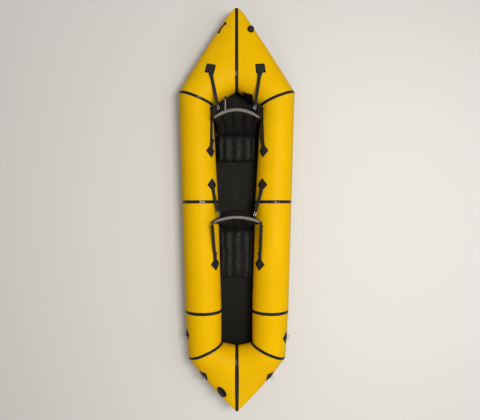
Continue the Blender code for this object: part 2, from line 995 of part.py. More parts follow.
def add_ring(key, share):
    """A patch with a sleeve, and the D-shaped ring whose straight leg turns in the sleeve."""
    side = 1 if key.endswith("right") else -1
    corners = square_corners(patch_size, patch_size)
    patch = add_patch(f"{key}_patch", share, side, corners, webbing(), patch_wall)
    sleeve_radius = ring_wire / 2 + ring_play + sleeve_wall
    lift = patch_lift(share[0]) + patch_wall + sleeve_radius - overlap
    axis = fitting_frame((share[0], share[1], 0), side, lift)
    lying = axis @ Matrix.Rotation(math.radians(-90), 4, "X")
    half = sleeve_length / 2
    sleeve = turned_mesh("sleeve", [(sleeve_radius, -half), (sleeve_radius, half)], sleeve_steps)
    boolean(patch, add_cutter(f"{key}_sleeve", sleeve, lying), "UNION")
    bore_radius = ring_wire / 2 + ring_play
    cut = half + overrun
    bore = turned_mesh("bore", [(bore_radius, -cut), (bore_radius, cut)], sleeve_steps)
    boolean(patch, add_cutter(f"{key}_bore", bore, lying), "DIFFERENCE")
    width = ring_inside + ring_wire
    turns = [math.pi * i / bend_steps for i in range(bend_steps + 1)]
    points = [Vector((side * ring_reach * math.sin(t), width / 2 * math.cos(t), 0)) for t in turns]
    ring = add_object(key, wire_mesh("ring", points, ring_wire / 2, True), metal(), hull)
    ring.matrix_basis = axis @ Matrix.Rotation(-side * math.radians(ring_lift), 4, "Y")


def add_valve():
    """A round welded base with a necked bore, and the screw cap over the neck."""
    flange = oval_corners(valve_base_diameter, valve_base_diameter)
    base = add_patch("valve_base", valve_share, 1, flange, plastic(), base_wall)
    frame = fitting_frame(valve_share, 1, patch_gap)
    floor = valve_neck_height - valve_bore_depth
    neck = [
        (valve_bore_radius, floor),
        (valve_bore_radius, valve_neck_height),
        (valve_neck_radius, valve_neck_height),
        (valve_neck_radius, 0),
    ]
    boolean(base, add_cutter("valve_neck", turned_mesh("neck", neck, turn_steps), frame), "UNION")
    inside = valve_neck_radius + cap_play
    profile = [
        (cap_radius - cap_edge, joint_gap + cap_crown),
        (cap_radius, joint_gap + cap_crown - cap_edge),
        (cap_radius, -cap_skirt),
        (inside, -cap_skirt),
        (inside, joint_gap),
    ]
    cap = add_object("valve_cap", turned_mesh("cap", profile, turn_steps), plastic(), hull)
    cap.matrix_basis = frame @ Matrix.Translation((0, 0, valve_neck_height))
    low = (-cap_radius + cap_edge * 2, -cap_lug_width / 2, joint_gap + cap_crown - overlap)
    high = (cap_radius - cap_edge * 2, cap_lug_width / 2, joint_gap + cap_crown + cap_lug_height)
    boolean(cap, add_cutter("valve_cap_bar", box_mesh("bar", low, high), cap.matrix_basis), "UNION")


def add_handle():
    """An oval patch with a padded loop that stands off it."""
    corners = oval_corners(handle_patch_width, handle_patch_length)
    handle = add_patch("bow_grab_handle", handle_share, -1, corners, webbing(), base_wall)
    frame = fitting_frame(handle_share, -1, patch_lift(handle_share[0]) + base_wall / 2)
    half, rise, wall = handle_length / 2, handle_rise, handle_strap_wall / 2
    sections = []
    for i in range(handle_steps + 1):
        turn = math.pi * i / handle_steps
        spot = Vector((0, -half * math.cos(turn), rise * math.sin(turn)))
        out = Vector((0, -rise * math.cos(turn), half * math.sin(turn))).normalized() * wall
        side = Vector((handle_strap_width / 2, 0, 0))
        sections.append([spot - side - out, spot + side - out, spot + side + out, spot - side + out])
    loop = add_cutter("handle_loop", loft_mesh("handle_loop", sections), frame)
    boolean(handle, loop, "UNION")


def add_oral_tube(seat):
    """A short bent tube on the backrest's rear, with its mouthpiece turning on the end."""
    height, bend, offset = seat["oral_height"], seat["oral_bend"], seat["oral_side"]
    share = offset / seat["half_width"]
    depth = rear_depth(share, height) - back_wing(seat, share, height) + oral_seat_gap
    start = Vector((-offset, depth, height))
    points = []
    for i in range(bend_steps + 1):
        turn = math.radians(oral_turn) * i / bend_steps
        points.append(start + Vector((0, math.sin(turn), 1 - math.cos(turn))) * bend)
    points.append(towards(points[-1], points[-1] * 2 - points[-2], oral_straight))
    mesh = wire_mesh("oral_tube", points, oral_radius, False)
    oral = add_object(f"{seat['name']}_oral_tube", mesh, pale())
    oral.parent = seat["empty"]
    inside = oral_radius + cap_play
    profile = [
        (mouth_tip_radius, mouth_length),
        (mouth_radius, mouth_length / 2),
        (mouth_radius, 0),
        (inside, 0),
        (inside, mouth_lap + joint_gap),
    ]
    mesh = turned_mesh("mouthpiece", profile, mouth_steps)
    mouth = add_object(f"{seat['name']}_mouthpiece", mesh, plastic())
    mouth.parent = seat["empty"]
    z_axis = (points[-1] - points[-2]).normalized()
    x_axis = Vector((1, 0, 0))
    frame = Matrix((x_axis, z_axis.cross(x_axis), z_axis)).transposed().to_4x4()
    mouth.matrix_basis = Matrix.Translation(points[-1] - z_axis * mouth_lap) @ frame
    low = (mouth_radius - overlap, -mouth_lug_width / 2, overlap)
    high = (mouth_radius + mouth_lug_reach, mouth_lug_width / 2, mouth_length / 2 - overlap)
    lug = add_cutter(f"{seat['name']}_mouth_lug", box_mesh("lug", low, high), mouth.matrix_basis)
    lug.parent = seat["empty"]
    boolean(mouth, lug, "UNION")


def build():
    for side, word in ((1, "right"), (-1, "left")):
        for bay, title in enumerate(("stern_panel", "aft_tube", "mid_tube", "fore_tube", "bow_panel")):
            add_panel(f"{title}_{word}", bay, side)
        for seam, title in enumerate(("stern_corner_tape", "mid_tape", "fore_tape", "bow_corner_tape")):
            add_tape(f"{title}_{word}", seam + 1, side)
    add_tape("stern_centre_tape", 0, 1)
    add_tape("bow_centre_tape", last_place, 1)
    add_floor()
    for seat in seats:
        add_pad(seat)
        add_backrest(seat)
        add_band(seat)
        add_oral_tube(seat)
        for side in ("left", "right"):
            add_anchor(f"{seat['name']}_rear_{side}", seat, True)
            add_anchor(f"{seat['name']}_front_{side}", seat, False)
    for key, share in ring_shares.items():
        add_ring(key, share)
    add_valve()
    add_handle()
    strip = square_corners(grab_width, grab_length)
    add_patch("stern_grab_strap", grab_share, -1, strip, webbing(), grab_wall)
    flap = square_corners(flap_width, flap_height)
    add_patch("stern_flap", flap_share, 1, flap, webbing(), patch_wall)


clear_scene()
parts = bpy.data.collections.new("packraft")
cutters = bpy.data.collections.new("cutters")
bpy.context.scene.collection.children.link(parts)
bpy.context.scene.collection.children.link(cutters)
cutters.hide_render = True
hull = bpy.data.objects.new("hull", None)
parts.objects.link(hull)
tree = hull_tree()
seats = [
    {
        "name": "aft",
        "hinge_y": stern_corner_y - aft_hinge_setback,
        "recline": aft_recline,
        "pad_length": aft_pad_length,
        "half_width": aft_back_half_width,
        "wing_reach": aft_wing_reach,
        "oral_bend": aft_oral_bend,
        "oral_height": aft_oral_height,
        "oral_side": aft_oral_side,
    },
    {
        "name": "fore",
        "hinge_y": mid_seam_y - fore_hinge_setback,
        "recline": fore_recline,
        "pad_length": fore_pad_length,
        "half_width": fore_back_half_width,
        "wing_reach": fore_wing_reach,
        "oral_bend": fore_oral_bend,
        "oral_height": fore_oral_height,
        "oral_side": fore_oral_side,
    },
]
for seat in seats:
    hinge = Vector((0, seat["hinge_y"], floor_wall + joint_gap + back_foot_radius))
    seat["matrix"] = Matrix.Translation(hinge) @ Matrix.Rotation(-math.radians(seat["recline"]), 4, "X")
    seat["empty"] = bpy.data.objects.new(f"{seat['name']}_hinge", None)
    seat["empty"].matrix_basis = seat["matrix"]
    parts.objects.link(seat["empty"])
build()
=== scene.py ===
# Looks of the open two-seat packraft: coated fabric, seam tape, inflated seats, webbing and fittings
import math

import bmesh
import bpy
from mathutils import Matrix, Vector, noise
from mathutils.bvhtree import BVHTree


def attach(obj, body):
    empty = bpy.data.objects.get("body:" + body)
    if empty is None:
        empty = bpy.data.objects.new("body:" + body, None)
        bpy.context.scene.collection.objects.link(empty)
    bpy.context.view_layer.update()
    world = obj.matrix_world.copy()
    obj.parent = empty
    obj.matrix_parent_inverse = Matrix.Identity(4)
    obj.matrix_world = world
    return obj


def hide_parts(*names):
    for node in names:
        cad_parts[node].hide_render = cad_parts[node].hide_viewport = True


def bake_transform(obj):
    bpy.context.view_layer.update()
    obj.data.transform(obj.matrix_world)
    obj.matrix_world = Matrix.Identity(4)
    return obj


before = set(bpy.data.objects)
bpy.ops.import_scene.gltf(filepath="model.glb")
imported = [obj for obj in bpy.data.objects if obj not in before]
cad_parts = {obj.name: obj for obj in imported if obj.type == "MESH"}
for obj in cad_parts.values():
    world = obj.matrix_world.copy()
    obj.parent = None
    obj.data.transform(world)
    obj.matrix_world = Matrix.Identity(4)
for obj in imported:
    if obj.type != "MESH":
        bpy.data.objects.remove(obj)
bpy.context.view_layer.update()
scene = bpy.context.scene
print("frame loaded:", len(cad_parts), "parts")

# Helpers


def lerp(a, b, t):
    return a + (b - a) * t


def smooth(t):
    t = min(max(t, 0), 1)
    return t * t * (3 - 2 * t)


def bell(distance, width):
    return math.exp(-((distance / width) ** 2))


def mirrored(point):
    return Vector((-point.x, point.y, point.z))


def newPiece(name, mesh, surface=None):
    piece = bpy.data.objects.new(name, mesh)
    scene.collection.objects.link(piece)
    if surface:
        mesh.materials.clear()
        mesh.materials.append(surface)
    return piece


def finishPiece(piece, body, node=None):
    if node:
        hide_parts(node)
    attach(piece, body)


def settle(piece):  # swaps a piece's mesh for what its modifiers show
    graph = bpy.context.evaluated_depsgraph_get()
    mesh = bpy.data.meshes.new_from_object(piece.evaluated_get(graph))
    piece.modifiers.clear()
    piece.data = mesh


def runLengths(points):
    lengths = [0]
    for a, b in zip(points, points[1:]):
        lengths.append(lengths[-1] + (b - a).length)
    return lengths


def meshFrom(name, work):
    mesh = bpy.data.meshes.new(name)
    work.to_mesh(mesh)
    work.free()
    mesh.shade_smooth()
    return mesh


def gridMesh(name, rows, closed=False, flip=False):
    # Quads over rows of points, with a UV map in metres: U along a row, V from row to row
    count = len(rows[0])
    middle = rows[len(rows) // 2]
    acrossM = runLengths([*middle, middle[0]])
    alongM = runLengths([row[count // 2] for row in rows])
    faces, uvs = [], []
    for i in range(len(rows) - 1):
        for j in range(count if closed else count - 1):
            k = (j + 1) % count
            face = [(i, j, j), (i + 1, j, j), (i + 1, k, j + 1), (i, k, j + 1)]
            if flip:
                face.reverse()
            faces.append([a * count + b for a, b, _ in face])
            uvs += [(acrossM[c], alongM[a]) for a, _, c in face]
    mesh = bpy.data.meshes.new(name)
    mesh.from_pydata([tuple(p) for row in rows for p in row], [], faces)
    layer = mesh.uv_layers.new(name="lay")
    layer.data.foreach_set("uv", [c for uv in uvs for c in uv])
    mesh.shade_smooth()
    return mesh


def loftMesh(name, rings):
    # Closed rings of points in a row, with both ends closed by a fan
    mesh = gridMesh(name, rings, closed=True)
    work = bmesh.new()
    work.from_mesh(mesh)
    work.verts.ensure_lookup_table()
    count = len(rings[0])
    for ring in (work.verts[:count], work.verts[-count:]):
        centre = work.verts.new(sum((v.co for v in ring), Vector()) / count)
        for i in range(count):
            work.faces.new((ring[i], ring[(i + 1) % count], centre))
    bmesh.ops.recalc_face_normals(work, faces=work.faces)
    work.to_mesh(mesh)
    work.free()
    mesh.shade_smooth()
    return mesh


def thicken(piece, wall, offset=1):
    shell = piece.modifiers.new("wall", "SOLIDIFY")
    shell.thickness = wall
    shell.offset = offset
    shell.use_even_offset = True


def softEdge(piece, width):
    edge = piece.modifiers.new("edge", "BEVEL")
    edge.width = width
    edge.segments = 2
    edge.limit_method = "ANGLE"


def joinMeshes(name, meshes):
    work = bmesh.new()
    for mesh in meshes:
        work.from_mesh(mesh)
    return meshFrom(name, work)


# Shader node groups shared by the materials


def newGroup(name, outputs, **inputs):
    # A shader group that takes a vector and some numbers, and gives numbers
    group = bpy.data.node_groups.new(name, "ShaderNodeTree")
    group.interface.new_socket("Vector", in_out="INPUT", socket_type="NodeSocketVector")
    for title, value in inputs.items():
        socket = group.interface.new_socket(title, in_out="INPUT", socket_type="NodeSocketFloat")
        socket.default_value = value
    for title in outputs:
        group.interface.new_socket(title, in_out="OUTPUT", socket_type="NodeSocketFloat")
    return group, group.nodes.new("NodeGroupInput").outputs, group.nodes.new("NodeGroupOutput").inputs


def feed(tree, node, links):
    # Links sockets or sets values, by the name or number of the input
    for key, value in links.items():
        if isinstance(value, bpy.types.NodeSocket):
            tree.links.new(value, node.inputs[key])
        else:
            node.inputs[key].default_value = value
    return node


def put(tree, kind, links=None, **settings):
    node = tree.nodes.new(kind)
    for key, value in settings.items():
        setattr(node, key, value)
    return feed(tree, node, links or {})


def sums(tree, operation, *values):
    return put(tree, "ShaderNodeMath", dict(enumerate(values)), operation=operation).outputs[0]


def mixed(tree, share, *colours):
    # Mixes two colours, each a socket or three numbers
    ends = [c if isinstance(c, bpy.types.NodeSocket) else (*c, 1) for c in colours]
    return put(tree, "ShaderNodeMix", {0: share, 6: ends[0], 7: ends[1]}, data_type="RGBA").outputs[2]


def weaveGroup():
    # Plain weave: two sets of threads that pass over and under each other
    group, enter, leave = newGroup("threadWeave", ["Height"], Threads=900.0)
    links = {0: enter["Vector"], "Scale": enter["Threads"]}
    spread = put(group, "ShaderNodeVectorMath", links, operation="SCALE")
    parts = put(group, "ShaderNodeSeparateXYZ", {0: spread.outputs[0]}).outputs
    along, across, deep = [sums(group, "SINE", sums(group, "MULTIPLY", part, math.pi)) for part in parts]
    crossing = sums(group, "MULTIPLY", along, across)
    deepShare = 0.4
    group.links.new(sums(group, "MULTIPLY_ADD", deep, deepShare, crossing), leave[0])
    return group


def mottleGroup():
    # Slow cloudy change and fine specks over a surface, both around zero
    group, enter, leave = newGroup("fabricMottle", ["Clouds", "Specks"], Cloud=6.0, Speck=140.0)
    for slot, title, detail in ((0, "Cloud", 3.0), (1, "Speck", 2.0)):
        links = {"Vector": enter["Vector"], "Scale": enter[title], "Detail": detail}
        grain = put(group, "ShaderNodeTexNoise", links)
        group.links.new(sums(group, "SUBTRACT", grain.outputs["Fac"], 0.5), leave[slot])
    return group


def scuffGroup():
    # Thin stretched scratches and rubbed spots, 0 to 1
    group, enter, leave = newGroup("scuffMarks", ["Mask"], Scale=9.0, Amount=0.3)
    drawn = {"Vector": enter["Vector"], "Rotation": (0.2, 0.4, 0.5), "Scale": (6.0, 1.0, 3.0)}
    drawn = put(group, "ShaderNodeMapping", drawn).outputs[0]
    lines = {"Vector": drawn, "Scale": enter["Scale"], "Detail": 6.0, "Roughness": 0.7}
    lines = put(group, "ShaderNodeTexNoise", lines)
    spots = put(group, "ShaderNodeTexNoise", {"Vector": enter["Vector"], "Scale": 3.0, "Detail": 2.0})
    both = sums(group, "MULTIPLY", lines.outputs["Fac"], spots.outputs["Fac"])
    ends = {"Value": both, "From Min": 0.33, "From Max": 0.42, "To Min": 0.0, "To Max": 1.0}
    mask = put(group, "ShaderNodeMapRange", ends, interpolation_type="SMOOTHSTEP")
    group.links.new(sums(group, "MULTIPLY", mask.outputs[0], enter["Amount"]), leave[0])
    return group


def ribGroup():
    # Ribs of webbing across its length, a little slanted; reads U across and V along in metres
    group, enter, leave = newGroup("webbingRibs", ["Height"], Ribs=700.0)
    slantWidth, slant, rowTurns, rowShare = 0.003, 0.6, 6000.0, 0.35
    parts = put(group, "ShaderNodeSeparateXYZ", {0: enter["Vector"]}).outputs
    shift = sums(group, "PINGPONG", parts[0], slantWidth)
    along = sums(group, "ADD", parts[1], sums(group, "MULTIPLY", shift, slant))
    turns = sums(group, "MULTIPLY", along, enter["Ribs"])
    ribs = sums(group, "SINE", sums(group, "MULTIPLY", turns, math.tau))
    rows = sums(group, "SINE", sums(group, "MULTIPLY", parts[0], rowTurns))
    group.links.new(sums(group, "MULTIPLY_ADD", rows, rowShare, ribs), leave[0])
    return group


groups = {"weave": weaveGroup(), "mottle": mottleGroup(), "scuff": scuffGroup(), "ribs": ribGroup()}


def place(tree, name, links):
    node = tree.nodes.new("ShaderNodeGroup")
    node.node_tree = groups[name]
    return feed(tree, node, links).outputs


def newSurface(name):
    surface = bpy.data.materials.new(name)
    surface.use_nodes = True
    return surface, surface.node_tree, surface.node_tree.nodes["Principled BSDF"]


def wornSurface(name, look):
    # A new surface with its coordinates, its clouds and specks, and its scuffs
    surface, tree, shader = newSurface(name)
    spots = put(tree, "ShaderNodeTexCoord").outputs
    mottle = {"Vector": spots["Object"], "Cloud": look["cloud"], "Speck": look["speck"]}
    scuff = {"Vector": spots["Object"], "Scale": look["scuffScale"], "Amount": look["scuffs"]}
    return surface, tree, shader, spots, place(tree, "mottle", mottle), place(tree, "scuff", scuff)["Mask"]


clothDefaults = {
    "cloudShade": 0.5, "speckShade": 0.3, "threadShade": 0.2, "speckHeight": 0.0001, "roughSpread": 0.1,
    "scuffs": 0.3, "scuffRough": 0.15, "followsCloth": True,
}


def clothMaterial(name, look):
    # One woven or coated fabric; look holds its colours, gloss and the size of its pattern
    look = {**clothDefaults, **look}
    surface, tree, shader, spots, mottle, scuffs = wornSurface(name, look)
    lay = spots["UV"] if look["followsCloth"] else spots["Object"]
    if "ribs" in look:
        fine = place(tree, "ribs", {"Vector": lay, "Ribs": look["ribs"]})["Height"]
    else:
        fine = place(tree, "weave", {"Vector": lay, "Threads": look["threads"]})["Height"]
    shade = sums(tree, "MULTIPLY_ADD", mottle["Clouds"], look["cloudShade"], 0.5)
    shade = sums(tree, "MULTIPLY_ADD", mottle["Specks"], look["speckShade"], shade)
    shade = sums(tree, "MULTIPLY_ADD", fine, look["threadShade"], shade)
    dyed = mixed(tree, shade, look["dark"], look["light"])
    tree.links.new(mixed(tree, scuffs, dyed, look["rubbed"]), shader.inputs["Base Color"])
    rough = sums(tree, "MULTIPLY_ADD", mottle["Clouds"], look["roughSpread"], look["rough"])
    rough = sums(tree, "MULTIPLY_ADD", scuffs, look["scuffRough"], rough)
    tree.links.new(rough, shader.inputs["Roughness"])
    height = sums(tree, "MULTIPLY", fine, look["threadHeight"])
    height = sums(tree, "MULTIPLY_ADD", mottle["Specks"], look["speckHeight"], height)
    bump = put(tree, "ShaderNodeBump", {"Height": height, "Strength": 1.0, "Distance": 1.0})
    tree.links.new(bump.outputs[0], shader.inputs["Normal"])
    for title in ("Coat Weight", "Coat Roughness", "Sheen Weight", "Sheen Roughness", "Specular IOR Level"):
        if title in look:
            shader.inputs[title].default_value = look[title]
    return surface


hardDefaults = {"roughSpread": 0.1, "scuffRough": 0.25, "metallic": 0.0, "clear": 0.0}


def hardMaterial(name, look):
    # Moulded plastic, steel wire or a clear tube
    look = {**hardDefaults, **look}
    surface, tree, shader, _, mottle, scuffs = wornSurface(name, look)
    shade = sums(tree, "MULTIPLY_ADD", mottle["Clouds"], look["cloudShade"], scuffs)
    rough = sums(tree, "MULTIPLY_ADD", scuffs, look["scuffRough"], look["rough"])
    rough = sums(tree, "MULTIPLY_ADD", mottle["Clouds"], look["roughSpread"], rough)
    links = {"Height": mottle["Specks"], "Strength": 1.0, "Distance": look["grainHeight"]}
    bump = put(tree, "ShaderNodeBump", links)
    dressing = {
        "Base Color": mixed(tree, shade, look["dark"], look["light"]), "Roughness": rough,
        "Normal": bump.outputs[0], "Metallic": look["metallic"], "Transmission Weight": look["clear"],
    }
    feed(tree, shader, dressing)
    return surface


fabricLook = {
    "dark": (0.73, 0.395, 0.0), "light": (0.93, 0.570, 0.0), "rubbed": (0.78, 0.47, 0.0), "cloud": 5.0,
    "speck": 220.0, "speckShade": 0.10, "threads": 1400.0, "threadShade": 0.04, "threadHeight": 0.000025,
    "speckHeight": 0.00006, "rough": 0.46, "roughSpread": 0.12, "scuffs": 0.2, "scuffScale": 5.0,
    "Specular IOR Level": 0.05,
}
tapeLook = {
    "dark": (0.006, 0.006, 0.006), "light": (0.020, 0.019, 0.018), "rubbed": (0.05, 0.05, 0.048),
    "cloud": 30.0, "speck": 300.0, "speckShade": 0.2, "threads": 1600.0, "threadShade": 0.05,
    "threadHeight": 0.00002, "speckHeight": 0.00012, "rough": 0.42, "roughSpread": 0.2, "scuffs": 0.4,
    "scuffScale": 20.0, "Specular IOR Level": 0.12, "Coat Weight": 0.22, "Coat Roughness": 0.10,
}
floorLook = {
    "dark": (0.0054, 0.0050, 0.0040), "light": (0.0110, 0.0102, 0.0081), "rubbed": (0.026, 0.025, 0.021),
    "cloud": 4.0, "cloudShade": 0.6, "speck": 180.0, "speckShade": 0.25, "threads": 900.0,
    "threadShade": 0.10, "threadHeight": 0.00005, "rough": 0.58, "roughSpread": 0.2, "scuffScale": 6.0,
    "followsCloth": False, "Specular IOR Level": 0.14,
}
seatLook = {
    "dark": (0.0056, 0.0056, 0.0056), "light": (0.0132, 0.0132, 0.0131), "rubbed": (0.034, 0.034, 0.033),
    "cloud": 9.0, "speck": 260.0, "speckShade": 0.35, "threads": 1100.0, "threadShade": 0.12,
    "threadHeight": 0.00006, "speckHeight": 0.00012, "rough": 0.52, "roughSpread": 0.15,
    "scuffScale": 9.0, "followsCloth": False, "Specular IOR Level": 0.22,
}
# Backrest fabric: the seat fabric painted lighter, a painted light on the backrests' fronts, which face away
# from the lamps
litBackLook = {**seatLook, "dark": (0.0082, 0.0083, 0.0084), "light": (0.0200, 0.0202, 0.0203)}
bandLook = {
    "dark": (0.13, 0.12, 0.11), "light": (0.27, 0.255, 0.24), "rubbed": (0.36, 0.35, 0.33), "cloud": 14.0,
    "speck": 400.0, "ribs": 520.0, "threadShade": 0.10, "threadHeight": 0.00012, "rough": 0.6,
    "scuffScale": 15.0, "Sheen Weight": 0.2, "Sheen Roughness": 0.5,
}
webbingLook = {
    "dark": (0.008, 0.008, 0.0075), "light": (0.026, 0.026, 0.024), "rubbed": (0.07, 0.068, 0.062),
    "cloud": 20.0, "cloudShade": 0.4, "speck": 500.0, "ribs": 420.0, "threadHeight": 0.00018, "rough": 0.62,
    "scuffScale": 25.0, "Specular IOR Level": 0.2,
}
patchLook = {
    "dark": (0.012, 0.012, 0.012), "light": (0.032, 0.032, 0.030), "rubbed": (0.08, 0.078, 0.07),
    "cloud": 25.0, "speck": 400.0, "threads": 1000.0, "threadHeight": 0.00008, "rough": 0.5,
    "roughSpread": 0.15, "scuffs": 0.4, "scuffScale": 22.0, "Specular IOR Level": 0.2,
}
threadLook = {
    "dark": (0.02, 0.02, 0.019), "light": (0.055, 0.053, 0.05), "rubbed": (0.09, 0.09, 0.09), "cloud": 60.0,
    "speck": 900.0, "threads": 3000.0, "threadHeight": 0.0001, "speckHeight": 0.00005, "rough": 0.55,
    "scuffs": 0.1, "scuffScale": 30.0, "followsCloth": False,
}
plasticLook = {
    "dark": (0.012, 0.012, 0.012), "light": (0.05, 0.05, 0.05), "cloud": 40.0, "cloudShade": 0.3,
    "speck": 900.0, "grainHeight": 0.0002, "rough": 0.38, "scuffs": 0.35, "scuffScale": 30.0,
}
steelLook = {
    "dark": (0.42, 0.42, 0.41), "light": (0.30, 0.30, 0.29), "cloud": 60.0, "cloudShade": 0.4,
    "speck": 700.0, "grainHeight": 0.00004, "rough": 0.24, "scuffs": 0.4, "scuffScale": 40.0, "metallic": 1.0,
}
tubeLook = {
    "dark": (0.50, 0.50, 0.47), "light": (0.66, 0.66, 0.62), "cloud": 30.0, "cloudShade": 0.5,
    "speck": 500.0, "grainHeight": 0.00003, "rough": 0.3, "scuffs": 0.3, "scuffScale": 30.0, "clear": 0.25,
}
coated = clothMaterial("coatedFabric", fabricLook)
taped = clothMaterial("seamTape", tapeLook)
floorCloth = clothMaterial("floorFabric", floorLook)
seatCloth = clothMaterial("seatFabric", seatLook)
# the backrests' painted-lighter copy of the seat fabric
litBackCloth = clothMaterial("backFabric", litBackLook)
bandCloth = clothMaterial("bandFabric", bandLook)
webbing = clothMaterial("webbing", webbingLook)
patchCloth = clothMaterial("patchFabric", patchLook)
thread = clothMaterial("thread", threadLook)
moulded = hardMaterial("mouldedPlastic", plasticLook)
steel = hardMaterial("steelWire", steelLook)
clearTube = hardMaterial("clearTube", tubeLook)
print("materials ready:", len(bpy.data.materials))

# Geometry node trees


def newTree(name, **inputs):
    tree = bpy.data.node_groups.new(name, "GeometryNodeTree")
    tree.interface.new_socket("Geometry", in_out="INPUT", socket_type="NodeSocketGeometry")
    for title, kind in inputs.items():
        tree.interface.new_socket(title, in_out="INPUT", socket_type=f"NodeSocket{kind}")
    tree.interface.new_socket("Geometry", in_out="OUTPUT", socket_type="NodeSocketGeometry")
    return tree, tree.nodes.new("NodeGroupInput").outputs


def endTree(tree, geometry, surface):
    real = put(tree, "GeometryNodeRealizeInstances", {0: geometry})
    dressed = put(tree, "GeometryNodeSetMaterial", {"Geometry": real.outputs[0], "Material": surface})
    tree.links.new(dressed.outputs[0], tree.nodes.new("NodeGroupOutput").inputs[0])


def runTree(piece, tree, values):
    # Puts the tree on a piece, sets its inputs by identifier, and keeps only the mesh that it makes
    modifier = piece.modifiers.new(tree.name, "NODES")
    modifier.node_group = tree
    for socket in tree.interface.items_tree:
        if socket.in_out == "INPUT" and socket.name in values:
            modifier[socket.identifier] = values[socket.name]
    settle(piece)
    return piece


stitchBall = {"Segments": 6, "Rings": 5, "Radius": 0.5}


def stitchTree():
    # Short round stitches along every edge path of the mesh
    tree, enter = newTree("stitchRun", Pitch="Float", Length="Float", Thread="Float", Surface="Material")
    line = put(tree, "GeometryNodeMeshToCurve", {0: enter["Geometry"]})
    links = {0: line.outputs[0], "Length": enter["Pitch"]}
    points = put(tree, "GeometryNodeCurveToPoints", links, mode="LENGTH").outputs
    ball = put(tree, "GeometryNodeMeshUVSphere", stitchBall)
    size = put(tree, "ShaderNodeCombineXYZ", {0: enter["Thread"], 1: enter["Thread"], 2: enter["Length"]})
    stitch = put(tree, "GeometryNodeTransform", {"Geometry": ball.outputs[0], "Scale": size.outputs[0]})
    links = {"Points": points["Points"], "Instance": stitch.outputs[0], "Rotation": points["Rotation"]}
    copies = put(tree, "GeometryNodeInstanceOnPoints", links)
    endTree(tree, copies.outputs[0], enter["Surface"])
    return tree


def puckerTree():
    # Draws a skin in at its seams and puckers it there; reads the seam attribute: around, distance, seed
    tree, enter = newTree(
        "seamPucker", Pinch="Float", Width="Float", Depth="Float", Fade="Float", Pleats="Float",
        Surface="Material",
    )
    stretch = 6.0  # how much finer the pleats change away from the seam
    seam = put(tree, "GeometryNodeInputNamedAttribute", {"Name": "seam"}, data_type="FLOAT_VECTOR")
    around, distance, seed = put(tree, "ShaderNodeSeparateXYZ", {0: seam.outputs[0]}).outputs
    away = sums(tree, "DIVIDE", distance, enter["Width"])
    pinch = sums(tree, "EXPONENT", sums(tree, "MULTIPLY", sums(tree, "MULTIPLY", away, away), -1.0))
    past = sums(tree, "DIVIDE", distance, enter["Fade"])
    fade = sums(tree, "EXPONENT", sums(tree, "MULTIPLY", past, -1.0))
    lay = {
        0: sums(tree, "MULTIPLY", around, enter["Pleats"]), 1: sums(tree, "MULTIPLY", distance, stretch),
        2: seed,
    }
    lay = put(tree, "ShaderNodeCombineXYZ", lay).outputs[0]
    pleat = put(tree, "ShaderNodeTexNoise", {"Vector": lay, "Scale": 1.0, "Detail": 2.0})
    pleat = sums(tree, "SUBTRACT", pleat.outputs["Fac"], 0.5)
    ripple = sums(tree, "MULTIPLY", sums(tree, "MULTIPLY", pleat, enter["Depth"]), fade)
    offset = sums(tree, "SUBTRACT", ripple, sums(tree, "MULTIPLY", pinch, enter["Pinch"]))
    facing = put(tree, "GeometryNodeInputNormal")
    push = put(tree, "ShaderNodeVectorMath", {0: facing.outputs[0], "Scale": offset}, operation="SCALE")
    moved = {"Geometry": enter["Geometry"], "Offset": push.outputs[0]}
    moved = put(tree, "GeometryNodeSetPosition", moved)
    endTree(tree, moved.outputs[0], enter["Surface"])
    return tree


def ribRingTree():
    # Small upright ribs round a ring, such as the grip of a cap
    tree, enter = newTree("ribRing", Count="Int", Radius="Float", Rib="Vector", Surface="Material")
    ring = put(tree, "GeometryNodeMeshCircle", {"Vertices": enter["Count"], "Radius": enter["Radius"]})
    bar = put(tree, "GeometryNodeMeshCube", {"Size": enter["Rib"]})
    outward = {"Vector": put(tree, "GeometryNodeInputPosition").outputs[0]}
    turn = put(tree, "FunctionNodeAlignRotationToVector", outward, axis="X", pivot_axis="Z")
    links = {"Points": ring.outputs[0], "Instance": bar.outputs[0], "Rotation": turn.outputs[0]}
    copies = put(tree, "GeometryNodeInstanceOnPoints", links)
    whole = put(tree, "GeometryNodeJoinGeometry")
    tree.links.new(copies.outputs[0], whole.inputs[0])
    tree.links.new(enter["Geometry"], whole.inputs[0])
    endTree(tree, whole.outputs[0], enter["Surface"])
    return tree


stitches, pucker, ribRing = stitchTree(), puckerTree(), ribRingTree()

# Hull surface: stations along one side, blended into the pointed ends

hullSizes = {
    "length": 3.35, "sternLength": 0.693, "bowLength": 0.413, "midSeamY": 0.056, "foreSeamY": -0.863,
    "beams": (0.982, 0.926, 0.872, 0.820), "tubes": (0.285, 0.305, 0.305, 0.278),
    "heights": (0.300, 0.305, 0.305, 0.292), "skews": (0.1105, 0, 0, -0.119), "bottom": 0.0015,
    "taperPower": 3, "lastPlace": 5, "around": 112, "cell": 0.010, "wall": 0.001,
}
sternY = hullSizes["length"] / 2 - hullSizes["sternLength"]
bowY = hullSizes["bowLength"] - hullSizes["length"] / 2
sternEnd = {
    "nose": sternY + 0.017, "tip": hullSizes["length"] / 2, "radius": 0.055, "rise": 0.085, "half": 0.030,
    "bulge": 0.004, "roundShare": 0.12,
}
bowEnd = {
    "nose": bowY + 0.089, "tip": -hullSizes["length"] / 2, "radius": 0.042, "rise": 0.130, "half": 0.008,
    "bulge": 0.011, "roundShare": 0.05,
}
lastPlace = hullSizes["lastPlace"]
seamYs = (sternY, hullSizes["midSeamY"], hullSizes["foreSeamY"], bowY)
stations = []  # the tube's inner and outer point in plan, and its height
columns = [hullSizes[key] for key in ("beams", "tubes", "heights", "skews")]
for y, beam, width, height, skew in zip(seamYs, *columns):
    stations.append((Vector((beam / 2 - width, y - skew)), Vector((beam / 2, y)), height))


